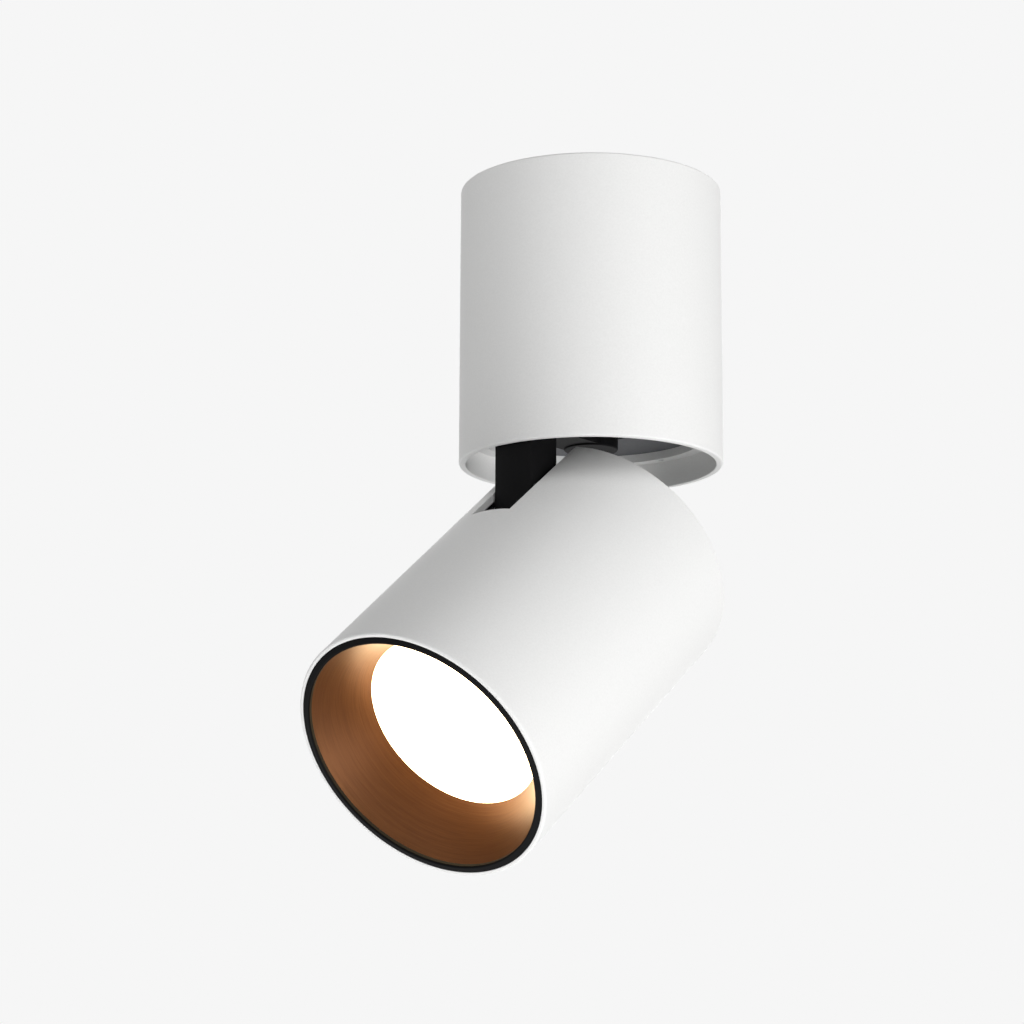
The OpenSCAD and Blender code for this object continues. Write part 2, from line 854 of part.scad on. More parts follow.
module yoke() {
  arm_top = ledge_z - shoulder_drop;
  color([0.06, 0.06, 0.065])
    difference() {
      union() {
        intersection() {
          union() {
            translate([-leg_w / 2, -tube_r, bar_z]) cube([leg_w, tube_r, arm_top - bar_z]);
            translate([-leg_w / 2, -tube_r, pivot_z])
              cube([leg_w, tube_r - leg_in, bar_z - pivot_z + eps]);
          }
          translate([0, 0, pivot_z - 1]) cylinder(r = leg_r, h = arm_top - pivot_z + 2);
        }
        translate([0, -pivot_offset, pivot_z])
          rotate([0, 90, 0]) cylinder(r = knuckle_r, h = leg_w, center = true);
        intersection() {
          translate([-leg_w / 2, -tube_r, bar_z]) cube([leg_w, tube_r + bar_over, bar_t]);
          translate([0, 0, bar_z - 1])
            cylinder(r = inner_r - ledge_w - shoulder_drop, h = bar_t + 2);
        }
        translate([0, 0, bar_top - boss_t]) cylinder(r = boss_r, h = boss_t);
        translate([0, 0, bar_top - 1]) cylinder(r = neck_r, h = neck_top - bar_top + 1);
      }
      translate([0, 0, bar_z + bore_floor])
        cylinder(r = neck_bore_r, h = neck_top - bar_z);
      translate([0, 0, mid_z])
        rotate([90, 0, 0]) cylinder(r = channel_r, h = channel_y + channel_over, $fn = 48);
      translate([0, -channel_y, channel_exit_z - channel_over])
        cylinder(r = drop_r, h = mid_z - channel_exit_z + 2 * channel_over, $fn = 48);
      translate([0, -channel_y - channel_over, channel_exit_z])
        rotate([-90, 0, 0]) cylinder(r = channel_r, h = channel_y, $fn = 48);
      translate([0, -pivot_offset, pivot_z])
        rotate([0, 90, 0]) cylinder(r = pin_r + fit, h = leg_w + 2, center = true);
      translate([0, 0, bar_top - stop_hold])
        round_axis([stop_angle], stop_r)
          cylinder(r = stop_pin_r + fit, h = stop_hold + 1, $fn = 40);
    }
}

module swivel_nut() {
  color("silver")
    translate([0, 0, partition_top + wash_gap + wave_t])
      hex_nut(swivel_nut_af, neck_r + fit, swivel_nut_t);
}

// Dished spring washer under the nut
module wave_washer() {
  color("lightgray")
    translate([0, 0, partition_top + wash_gap])
      rotate_extrude()
        polygon([
          [neck_r + fit, wave_t - wave_rise],
          [neck_r + fit, wave_t],
          [neck_r + 1.5, wave_t],
          [wave_r, wave_rise],
          [wave_r, 0],
          [wave_r - 0.6, 0]
        ]);
}

module slip_washer() {
  color("ivory")
    translate([0, 0, bar_top]) ring(slip_r, neck_r + fit, slip_t);
}

module stop_pin() {
  color("silver")
    translate([0, 0, bar_top - stop_hold + hole_play])
      round_axis([stop_angle], stop_r)
        cylinder(r = stop_pin_r, $fn = 40,
                 h = stop_hold + partition_z - bar_top + stop_depth - hole_play - 0.3);
}

module yoke_lead() {
  turn = 1.4;
  color("dimgray")
    wire([
      [0, 0, neck_top - 0.1],
      [0, 0, bar_top + 4],
      [0, 0, mid_z + turn],
      [0, -turn, mid_z],
      [0, -channel_y / 2, mid_z],
      [0, -channel_y + turn, mid_z],
      [0, -channel_y + turn / 4, mid_z - turn / 4],
      [0, -channel_y, mid_z - turn],
      [0, -channel_y, channel_exit_z + turn],
      [0, -channel_y + turn / 4, channel_exit_z + turn / 4],
      [0, -channel_y + turn, channel_exit_z],
      [0, -leg_in + 0.2, channel_exit_z]
    ], thin_lead_r, [1, 0, 0]);
}

// Head

module head_shell() {
  color("whitesmoke")
    in_head()
      difference() {
        union() {
          translate([0, 0, -head_len])
            rotate_extrude()
              wall_profile(head_len);
          translate([0, 0, -base_depth])
            ring(inner_r + eps, inner_r - shelf_w, shelf_t);
        }
        slot_cut(-pocket_floor);
        at_depth(ring_back) cylinder(r = ring_out + fit, h = ring_t + 1);
      }
}

module back_cover() {
  color("whitesmoke")
    in_head()
      difference() {
        at_depth(cover_inset) cylinder(r = cover_r, h = cover_t);
        intersection() {
          slot_cut(0);
          translate([-tube_r, -2 * tube_r - leg_in + 0.8, -2 * cover_end])
            cube([2 * tube_r, 2 * tube_r, 4 * cover_end]);
        }
        translate([0, 0, -cover_end - 1])
          round_axis(cover_screw_angles, cover_screw_r)
            union() {
              cylinder(r = m3_r + hole_play, h = cover_t + 2, $fn = 32);
              translate([0, 0, cover_t + 1 - m3_head_t / 2])
                cylinder(r = m3_head_r + 0.2, h = m3_head_t, $fn = 40);
            }
      }
}

module back_cover_screws() {
  color("silver")
    in_head()
      translate([0, 0, -cover_inset - m3_head_t / 2])
        round_axis(cover_screw_angles, cover_screw_r)
          screw_down(m3_core_r - fit, cover_t + cover_hole - 3, m3_head_r, m3_head_t);
}

module heatsink_body() {
  intersection() {
    at_depth(fin_start) cylinder(r = core_r, h = base_depth - fin_start + eps);
    union() {
      translate([-ear_out, -tube_r, -base_depth - eps])
        cube([2 * ear_out, tube_d, base_depth - fin_start + eps]);
      for (side = [-1, 1])
        for (k = [0 : fin_count - 1])
          translate([side * (fin_first + k * fin_pitch) - fin_t / 2, -tube_r, -base_depth - eps])
            cube([fin_t, tube_d, base_depth - fin_start + eps]);
    }
  }
}

module heatsink() {
  color("lightgray")
    in_head()
      difference() {
        union() {
          heatsink_body();
          at_depth(base_depth) cylinder(r = inner_r - seat_gap, h = base_t);
          at_depth(cover_end)
            round_axis(cover_screw_angles, cover_screw_r)
              cylinder(r = post_r, h = base_depth - cover_end + eps, $fn = 40);
        }
        translate([-ear_in, -2 * tube_r - pocket_floor, -slot_depth])
          cube([2 * ear_in, 2 * tube_r, slot_depth]);
        translate([0, -pivot_offset, -pivot_depth])
          rotate([0, 90, 0]) cylinder(r = pin_r + fit, h = 2 * ear_out + 1, center = true);
        for (side = [-1, 1])
          translate([
            side * (ear_out + tube_r) / 2, -pivot_offset + pin_way_r - tube_r, -pivot_depth
          ])
            cube([tube_r - ear_out, 2 * tube_r, 2 * pin_way_r], center = true);
        translate([0, head_bore_y, -base_front - 1])
          cylinder(r = head_bore_r, h = base_front, $fn = 48);
        translate([0, 0, -cover_end - cover_hole])
          round_axis(cover_screw_angles, cover_screw_r)
            cylinder(r = m3_core_r, h = cover_hole + 1, $fn = 32);
        for (side = [-1, 1])
          translate([side * holder_screw_r, 0, -base_front - 1])
            cylinder(r = m3_core_r, h = holder_tap + 1, $fn = 32);
      }
}

module tilt_pin() {
  color("dimgray")
    in_head()
      translate([-ear_out, -pivot_offset, -pivot_depth])
        rotate([0, 90, 0])
          union() {
            translate([0, 0, -pin_head_t / 4])
              cylinder(r = pin_r, h = pin_head_t / 4 + 2 * ear_out + tilt_nut_t + 0.2);
            difference() {
              translate([0, 0, -pin_head_t]) cylinder(r = pin_head_r, h = pin_head_t);
              translate([0, 0, -pin_head_t - 1])
                cylinder(r = pin_head_r * socket_share, h = pin_head_t / 2 + 1, $fn = 6);
            }
          }
}

module tilt_nut() {
  color("silver")
    in_head()
      translate([ear_out, -pivot_offset, -pivot_depth])
        rotate([0, 90, 0]) hex_nut(tilt_nut_af, pin_r + fit, tilt_nut_t);
}

module friction_washers() {
  color("sienna")
    in_head()
      for (side = [-1, 1])
        translate([side * (ear_in - washer_t / 2), -pivot_offset, -pivot_depth])
          rotate([0, 90, 0])
            translate([0, 0, -washer_t / 2]) ring(washer_r, pin_r + fit, washer_t);
}

module thermal_pad() {
  color("lightblue")
    in_head()
      translate([-led_side / 2, -led_side / 2, -base_front - pad_t])
        cube([led_side, led_side, pad_t]);
}

module led_board() {
  color("white")
    in_head()
      translate([-led_side / 2, -led_side / 2, -base_front - pad_t - board_led_t])
        cube([led_side, led_side, board_led_t]);
}

module led_emitter() {
  color("khaki")
    in_head()
      at_depth(base_front + pad_t + board_led_t) cylinder(r = led_r, h = emit_t);
}

module cob_holder() {
  pocket = pad_t + board_led_t + hole_play;
  side = led_side + 2 * hole_play;
  color("white")
    in_head()
      difference() {
        at_depth(base_front) ring(holder_r, holder_hole_r, holder_t);
        translate([-side / 2, -side / 2, -base_front - pocket]) cube([side, side, pocket + 1]);
        translate([-lead_way_w / 2, head_bore_y - lead_way_end, -holder_front + lead_way_wall])
          cube([lead_way_w, -head_bore_y, holder_t]);
        for (x = [-holder_screw_r, holder_screw_r])
          translate([x, 0, -holder_front - 1]) {
            cylinder(r = m3_r + hole_play, h = holder_t + 2, $fn = 32);
            cylinder(r = m3_head_r + 0.2, h = 1 + m3_head_t, $fn = 40);
          }
      }
}

module cob_screws() {
  color("silver")
    in_head()
      for (x = [-holder_screw_r, holder_screw_r])
        translate([x, 0, -holder_front + m3_head_t])
          screw_up(m3_core_r - fit, holder_t - m3_head_t + holder_tap - 1,
                   m3_head_r, m3_head_t);
}

// Polished cup between the light source and the lens
module reflector() {
  color("gainsboro")
    in_head()
      rotate_extrude()
        polygon([
          [holder_hole_r, -holder_front],
          [holder_hole_r + cup_wall, -holder_front],
          [lens_show_r - cup_lap, -carrier_back + cup_wall],
          [lens_show_r + cup_lip, -carrier_back + cup_wall],
          [lens_show_r + cup_lip, -carrier_back],
          [lens_show_r - cup_lap - cup_wall, -carrier_back]
        ]);
}

module spacer_tube() {
  color("dimgray")
    in_head()
      at_depth(base_front)
        ring(inner_r - seat_gap, inner_r - seat_gap - spacer_t, carrier_back - base_front);
}

module lens_carrier() {
  color("dimgray")
    in_head()
      difference() {
        at_depth(carrier_back) cylinder(r = inner_r - seat_gap, h = lens_front - carrier_back);
        at_depth(carrier_back - 1) cylinder(r = lens_show_r - carrier_lap, h = lens_recess);
        at_depth(lens_back) cylinder(r = lens_r + hole_play, h = lens_recess);
      }
}

module lens() {
  color("lightyellow")
    in_head()
      at_depth(lens_back) cylinder(r = lens_r, h = lens_t);
}

module anti_glare_cone() {
  color("peru")
    in_head()
      rotate_extrude()
        polygon([
          [lens_show_r, -lens_front],
          [lens_show_r + cone_foot, -lens_front],
          [ring_in + cone_lap, -ring_back + cone_lip_t],
          [ring_in + cone_lap, -ring_back],
          [ring_in, -ring_back]
        ]);
}

// Ring flush in the tube's mouth, whose face rises to a rounded inner edge
module front_ring() {
  bead_z = -head_len - ring_crown + ring_bead;
  color([0.05, 0.05, 0.05])
    in_head()
      rotate_extrude()
        polygon(concat(
          [for (a = [180 : 15 : 270]) [ring_in + ring_bead * (1 + cos(a)), bead_z + ring_bead * sin(a)]],
          [
            [ring_out, -head_len],
            [ring_out, -ring_back],
            [inner_r - seat_gap, -ring_back],
            [inner_r - seat_gap, -ring_back + ring_skirt_h],
            [ring_skirt_in, -ring_back + ring_skirt_h],
            [ring_skirt_in, -ring_back],
            [ring_in, -ring_back]
          ]
        ));
}

// Twin lead from the slot, through the heat sink, to the light source
module head_lead() {
  board_face = -base_front - pad_t - board_led_t;
  color("dimgray")
    in_head()
      wire([
        [0, head_bore_y, -slot_depth - 0.5],
        [0, head_bore_y, -base_depth],
        [0, head_bore_y, -base_front + 1],
        [0, head_bore_y + 0.8, -base_front - 1.4],
        [0, head_bore_y + 4, board_face - thin_lead_r - 0.4],
        [0, -led_r - 1.1, board_face - thin_lead_r - 0.1]
      ], thin_lead_r, [1, 0, 0]);
}

upper_shell();
ledge_ring();
ceiling_plate();
cable_grommet();
grub_screws();
terminal_block();
terminal_barrels();
terminal_screws();
block_screw();
earth_screw();
partition();
partition_screws();
driver_bracket();
bracket_screws();
driver_case();
driver_screws();
driver_lid();
driver_board();
driver_transformer();
driver_capacitors();
driver_choke();
mains_leads();
earth_lead();
output_lead();
yoke();
swivel_nut();
wave_washer();
slip_washer();
stop_pin();
yoke_lead();
head_shell();
back_cover();
back_cover_screws();
heatsink();
tilt_pin();
tilt_nut();
friction_washers();
thermal_pad();
led_board();
led_emitter();
cob_holder();
cob_screws();
reflector();
spacer_tube();
lens_carrier();
lens();
anti_glare_cone();
front_ring();
head_lead();
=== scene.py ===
import json
import math

import bmesh
import bpy
from mathutils import Matrix, Vector


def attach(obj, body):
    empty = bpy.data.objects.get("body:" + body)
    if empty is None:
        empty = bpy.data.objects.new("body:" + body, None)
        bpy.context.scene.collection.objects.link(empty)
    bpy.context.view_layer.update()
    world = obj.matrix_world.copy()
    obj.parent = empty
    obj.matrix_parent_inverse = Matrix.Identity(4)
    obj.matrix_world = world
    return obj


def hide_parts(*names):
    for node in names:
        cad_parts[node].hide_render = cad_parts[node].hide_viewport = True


# Ceiling spotlight of two equal cylinders. Pieces are drawn in millimetres and
# turned to metres as they are put in place. Pieces of the head are drawn upright,
# with their depth below the head's back end as a negative height.

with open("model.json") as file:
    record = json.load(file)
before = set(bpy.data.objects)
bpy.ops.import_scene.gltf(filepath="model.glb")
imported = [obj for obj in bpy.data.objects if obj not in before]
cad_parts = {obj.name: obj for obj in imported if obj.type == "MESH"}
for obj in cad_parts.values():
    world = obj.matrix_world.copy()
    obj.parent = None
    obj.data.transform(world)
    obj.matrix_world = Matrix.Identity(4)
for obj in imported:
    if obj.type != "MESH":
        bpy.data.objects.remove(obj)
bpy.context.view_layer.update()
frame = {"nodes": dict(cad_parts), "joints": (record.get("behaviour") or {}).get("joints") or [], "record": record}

toMetres = Matrix.Scale(0.001, 4)
upright = Matrix.Identity(4)
tiltJoint = next(j for j in frame["joints"] if j["name"] == "tilt")
pivot = Vector(tiltJoint["pos_m"]) * 1000
restTilt = -tiltJoint["range_deg"][0]
pivotOffset = -pivot.y    # from the head's axis to the tilt pin
pivotDepth = 20           # from the head's back end to the tilt pin
headPlace = (Matrix.Translation(pivot)
             @ Matrix.Rotation(math.radians(-restTilt), 4, "X")
             @ Matrix.Translation((0, pivotOffset, pivotDepth)))

# Both tubes have the same section, in columns of faces round the axis
tube = {"outer": 37.5, "inner": 35.5, "edge": 0.6, "innerEdge": 0.25, "columns": 256}
cutterPast = 1            # how far a cutter passes the face that it opens
print("frame loaded, head tilted", restTilt)


def hexToLinear(code):
    channels = [int(code[i:i + 2], 16) / 255 for i in (1, 3, 5)]
    return [c / 12.92 if c <= 0.04045 else ((c + 0.055) / 1.055) ** 2.4
            for c in channels] + [1.0]


# Sets a node's inputs, each from a value or from another node's socket
def feed(tree, node, inputs):
    for key, value in inputs.items():
        if isinstance(value, bpy.types.NodeSocket):
            tree.links.new(value, node.inputs[key])
        else:
            node.inputs[key].default_value = value


# Adds a node with its settings as words, and a ramp's stops as (position, colour)
def addNode(tree, kind, inputs=None, stops=(), **settings):
    node = tree.nodes.new(kind)
    for name, value in settings.items():
        setattr(node, name, value)
    for i, (position, colour) in enumerate(stops):
        node.color_ramp.elements[i].position = position
        node.color_ramp.elements[i].color = colour
    feed(tree, node, inputs or {})
    return node


# Turns an outline of (x, y, fillet) corners into points with round corners
def rounded(corners, steps=5):
    points = []
    for i, (x, y, fillet) in enumerate(corners):
        here = Vector((x, y))
        if fillet <= 0:
            points.append((x, y))
            continue
        back = (Vector(corners[i - 1][:2]) - here).normalized()
        ahead = (Vector(corners[(i + 1) % len(corners)][:2]) - here).normalized()
        half = back.angle(ahead) / 2
        centre = here + (back + ahead).normalized() * fillet / math.sin(half)
        start = here + back * fillet / math.tan(half) - centre
        end = here + ahead * fillet / math.tan(half) - centre
        sweep = start.angle(end)
        for k in range(steps + 1):
            share = k / steps
            spoke = start * math.sin((1 - share) * sweep) + end * math.sin(share * sweep)
            points.append(tuple(centre + spoke / math.sin(sweep)))
    return points


# Point on a circle round the axis, with its angle counted from the front
def onRing(radius, angle, height):
    return radius * math.sin(angle), -radius * math.cos(angle), height


# Closed outline of (r, z) points turned round the axis, with u round and v along it
def turned(outline, columns):
    mapHeight = 100    # millimetres along the outline that v counts as 1
    bm = bmesh.new()
    uvMap = bm.loops.layers.uv.new("UVMap")
    rows = []
    for r, z in outline:
        turns = [0.0] if r < 1e-6 else [2 * math.pi * k / columns for k in range(columns)]
        rows.append([bm.verts.new(onRing(r, a, z)) for a in turns])
    along = 0.0
    for i, row in enumerate(rows):
        nextRow = rows[(i + 1) % len(rows)]
        step = math.dist(outline[i], outline[(i + 1) % len(rows)])
        if len(row) == 1 and len(nextRow) == 1:
            continue
        for k in range(columns):
            m = (k + 1) % columns
            corners = [(row[k % len(row)], k, along), (row[m % len(row)], k + 1, along),
                       (nextRow[m % len(nextRow)], k + 1, along + step),
                       (nextRow[k % len(nextRow)], k, along + step)]
            if len(row) == 1:
                corners.pop(1)
            if len(nextRow) == 1:
                corners.pop(2)
            face = bm.faces.new([vertex for vertex, _, _ in corners])
            for loop, (_, column, height) in zip(face.loops, corners):
                loop[uvMap].uv = (column / columns, height / mapHeight)
        along += step
    return bm


# Flat outline of (x, y) points pushed up into a solid
def extruded(outline, bottom, top):
    bm = bmesh.new()
    low = [bm.verts.new((x, y, bottom)) for x, y in outline]
    high = [bm.verts.new((x, y, top)) for x, y in outline]
    bm.faces.new(low[::-1])
    bm.faces.new(high)
    for i in range(len(outline)):
        m = (i + 1) % len(outline)
        bm.faces.new((low[i], low[m], high[m], high[i]))
    return bm


def circle(radius, columns):
    return [(radius * math.cos(2 * math.pi * k / columns),
             radius * math.sin(2 * math.pi * k / columns)) for k in range(columns)]


def asObject(name, bm):
    bmesh.ops.remove_doubles(bm, verts=bm.verts, dist=1e-4)
    bmesh.ops.recalc_face_normals(bm, faces=bm.faces)
    mesh = bpy.data.meshes.new(name)
    bm.to_mesh(mesh)
    bm.free()
    obj = bpy.data.objects.new(name, mesh)
    bpy.context.scene.collection.objects.link(obj)
    return obj


# Keeps what a piece's modifiers make as its mesh
def bakeModifiers(obj):
    bpy.context.view_layer.update()
    ready = obj.evaluated_get(bpy.context.evaluated_depsgraph_get())
    mesh = bpy.data.meshes.new_from_object(ready)
    obj.modifiers.clear()
    obj.data = mesh


# Rounds the edges that are sharper than an angle in degrees
def roundEdges(obj, width, segments, angle):
    bevel = obj.modifiers.new("Edges", "BEVEL")
    bevel.width = width
    bevel.segments = segments
    bevel.limit_method = "ANGLE"
    bevel.angle_limit = math.radians(angle)
    bakeModifiers(obj)


# Cuts with or joins a second object, which is then removed
def combine(obj, other, operation):
    join = obj.modifiers.new(operation.title(), "BOOLEAN")
    join.operation = operation
    join.solver = "EXACT"
    join.object = other
    bakeModifiers(obj)
    bpy.data.objects.remove(other)


# Cuts a round hole, drilled along the height from one level to another and then placed
def drillHole(obj, radius, columns, low, high, place):
    drill = asObject("drill", extruded(circle(radius, columns), low, high))
    drill.data.transform(place)
    combine(obj, drill, "DIFFERENCE")


# Shades a finished piece, puts it in its place and gives it its body and finish
def settle(obj, slotName, place, body, nodeName, sharpAngle=32):
    obj.data.set_sharp_from_angle(angle=math.radians(sharpAngle))
    obj.data.shade_smooth()
    weigh = obj.modifiers.new("Weigh", "WEIGHTED_NORMAL")
    weigh.keep_sharp = True
    bakeModifiers(obj)
    obj.data.transform(toMetres @ place)
    obj.data.materials.clear()
    obj.data.materials.append(finishes[slotName])
    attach(obj, body)
    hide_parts(nodeName)
    print("made", obj.name, len(obj.data.polygons), "faces")


def startMaterial(name, colour, roughness, metallic=0.0, specular=0.5):
    material = bpy.data.materials.new(name)
    material.use_nodes = True
    tree = material.node_tree
    shader = tree.nodes["Principled BSDF"]
    feed(tree, shader, {"Base Color": hexToLinear(colour), "Roughness": roughness,
                        "Metallic": metallic})
    if not metallic:
        shader.inputs["Specular IOR Level"].default_value = specular
    return material, tree, shader


# Small grain with a slow change of gloss, as coats and moulded plastics have. The tone
# is how far the colour goes up and down with the grain.
def grainy(name, colour, roughness, grainMm, depthMm, tone=0.03, specular=0.5):
    glossChange = 0.05
    patchesPerMetre = 45.0    # patches of gloss about 22 mm across
    material, tree, shader = startMaterial(name, colour, roughness, 0.0, specular)
    base = hexToLinear(colour)[:3]
    darker = [c * (1 - tone) for c in base] + [1.0]
    lighter = [min(c * (1 + tone), 1) for c in base] + [1.0]
    where = addNode(tree, "ShaderNodeTexCoord").outputs["Object"]
    grain = addNode(tree, "ShaderNodeTexNoise", {
        "Vector": where, "Scale": 1000 / grainMm, "Detail": 2.0, "Roughness": 0.55})
    bump = addNode(tree, "ShaderNodeBump", {
        "Height": grain.outputs["Fac"], "Distance": depthMm / 1000, "Strength": 0.8})
    patches = addNode(tree, "ShaderNodeTexNoise", {
        "Vector": where, "Scale": patchesPerMetre, "Detail": 3.0})
    gloss = addNode(tree, "ShaderNodeMapRange", {
        "Value": patches.outputs["Fac"], "To Min": roughness - glossChange,
        "To Max": roughness + glossChange})
    shade = addNode(tree, "ShaderNodeValToRGB", {"Fac": grain.outputs["Fac"]},
                    stops=[(0.3, darker), (0.7, lighter)])
    feed(tree, shader, {"Base Color": shade.outputs["Color"],
                        "Roughness": gloss.outputs["Result"],
                        "Normal": bump.outputs["Normal"]})
    return material


# Bare metal with fine lines, drawn out along one direction by a stretch below 1, and
# small stains of gloss
def bareMetal(name, colour, roughness, lineMm, depthMm, stretch=(1.0, 1.0, 1.0)):
    stainsPerMetre = 160.0    # stains about 6 mm across
    glossier, duller = 0.08, 0.1
    material, tree, shader = startMaterial(name, colour, roughness, 1.0)
    where = addNode(tree, "ShaderNodeTexCoord").outputs["Object"]
    placed = addNode(tree, "ShaderNodeMapping", {"Vector": where, "Scale": stretch})
    lines = addNode(tree, "ShaderNodeTexNoise", {
        "Vector": placed.outputs["Vector"], "Scale": 1000 / lineMm, "Detail": 3.0})
    bump = addNode(tree, "ShaderNodeBump", {
        "Height": lines.outputs["Fac"], "Distance": depthMm / 1000, "Strength": 1.0})
    stains = addNode(tree, "ShaderNodeTexNoise", {
        "Vector": where, "Scale": stainsPerMetre, "Detail": 4.0})
    mixed = addNode(tree, "ShaderNodeMath", {
        0: stains.outputs["Fac"], 1: lines.outputs["Fac"]}, operation="MULTIPLY")
    gloss = addNode(tree, "ShaderNodeMapRange", {
        "Value": mixed.outputs["Value"], "From Min": 0.1, "From Max": 0.45,
        "To Min": roughness - glossier, "To Max": roughness + duller})
    feed(tree, shader, {"Roughness": gloss.outputs["Result"],
                        "Normal": bump.outputs["Normal"]})
    return material


# Glass epoxy under green solder mask: glossy, with copper tracks showing paler through it
def makeCircuitBoard():
    tracksPerMetre = 90.0     # tracks about 3 mm apart
    material, tree, shader = startMaterial("solderMaskGreen", "#1E5B38", 0.30)
    where = addNode(tree, "ShaderNodeTexCoord").outputs["Object"]
    tracks = addNode(tree, "ShaderNodeTexBrick", {
        "Vector": where, "Scale": tracksPerMetre, "Mortar Size": 0.16, "Mortar Smooth": 0.1,
        "Color1": hexToLinear("#1E5B38"), "Color2": hexToLinear("#1A5333"),
        "Mortar": hexToLinear("#3A8A58")}, offset=0.37, squash=1.6)
    bump = addNode(tree, "ShaderNodeBump", {
        "Height": tracks.outputs["Fac"], "Distance": 0.00004, "Strength": 0.6})
    feed(tree, shader, {"Base Color": tracks.outputs["Color"],
                        "Normal": bump.outputs["Normal"]})
    return material


# Earth wire's insulation: green, with one yellow stripe wound slowly along it
def makeEarthInsulation():
    stripeScale = 70.0        # a stripe about every 9 mm
    material, tree, shader = startMaterial("insulationEarth", "#3F8F3A", 0.44)
    where = addNode(tree, "ShaderNodeTexCoord").outputs["Object"]
    stripes = addNode(tree, "ShaderNodeTexWave", {
        "Vector": where, "Scale": stripeScale, "Distortion": 0.4}, bands_direction="DIAGONAL")
    tint = addNode(tree, "ShaderNodeValToRGB", {"Fac": stripes.outputs["Fac"]},
                   stops=[(0.0, hexToLinear("#3F8F3A")), (0.62, hexToLinear("#E3D23A"))])
    tint.color_ramp.interpolation = "CONSTANT"
    feed(tree, shader, {"Base Color": tint.outputs["Color"]})
    return material


# Head's own upright place in millimetres, so that patterns follow its axis
def headCoordinates(tree):
    back = (toMetres @ headPlace).inverted()
    place, turn, size = back.decompose()
    where = addNode(tree, "ShaderNodeTexCoord").outputs["Object"]
    return addNode(tree, "ShaderNodeMapping", {
        "Vector": where, "Location": place, "Rotation": turn.to_euler(),
        "Scale": size}).outputs["Vector"]


# Bronze anodised aluminium, turned: rings of tool marks that smear the light sideways
def makeBronze():
    markMm = 0.3125
    alongMarks = (0.02, 0.02, 1.0)    # marks run round the axis and barely change there
    material, tree, shader = startMaterial("anodisedBronzeTurned", "#5B371B", 0.44, 0.72)
    drawnOut = addNode(tree, "ShaderNodeVectorMath", {
        0: headCoordinates(tree), 1: alongMarks}, operation="MULTIPLY")
    marks = addNode(tree, "ShaderNodeTexNoise", {
        "Vector": drawnOut.outputs["Vector"], "Scale": 1 / markMm, "Detail": 3.0,
        "Roughness": 0.7})
    bump = addNode(tree, "ShaderNodeBump", {
        "Height": marks.outputs["Fac"], "Distance": 0.00004, "Strength": 0.5})
    shade = addNode(tree, "ShaderNodeValToRGB", {"Fac": marks.outputs["Fac"]},
                    stops=[(0.32, hexToLinear("#543218")), (0.68, hexToLinear("#5F3B1E"))])
    around = addNode(tree, "ShaderNodeTangent", direction_type="UV_MAP", uv_map="UVMap")
    feed(tree, shader, {"Anisotropic": 0.60, "Tangent": around.outputs["Tangent"],
                        "Base Color": shade.outputs["Color"],
                        "Normal": bump.outputs["Normal"]})
    return material


# Opal acrylic lit from behind: plain white to the eye, and it throws a warm light
def makeLensGlow():
    cloudsPerMm = 0.09        # clouds about 11 mm across
    material, tree, shader = startMaterial("acrylicOpalLit", "#F4EFE2", 0.42)
    cloud = addNode(tree, "ShaderNodeTexNoise", {
        "Vector": headCoordinates(tree), "Scale": cloudsPerMm, "Detail": 2.0})
    tint = addNode(tree, "ShaderNodeValToRGB", {"Fac": cloud.outputs["Fac"]},
                   stops=[(0.35, (1.0, 0.74, 0.38, 1.0)), (0.62, (1.0, 0.79, 0.48, 1.0))])
    feed(tree, shader, {"Emission Color": tint.outputs["Color"], "Emission Strength": 7.4})
    return material


# Phosphor gel over the light source: yellow, soft and grainy
def makePhosphor():
    grainMm = 0.4
    material, tree, shader = startMaterial("phosphorGel", "#E8C431", 0.35)
    where = addNode(tree, "ShaderNodeTexCoord").outputs["Object"]
    grain = addNode(tree, "ShaderNodeTexNoise", {"Vector": where, "Scale": 1000 / grainMm})
    tint = addNode(tree, "ShaderNodeValToRGB", {"Fac": grain.outputs["Fac"]},
                   stops=[(0.0, hexToLinear("#D9B023")), (1.0, hexToLinear("#F2D552"))])
    feed(tree, shader, {"Base Color": tint.outputs["Color"],
                        "Emission Color": hexToLinear("#FFE08A"), "Emission Strength": 1.0})
    return material


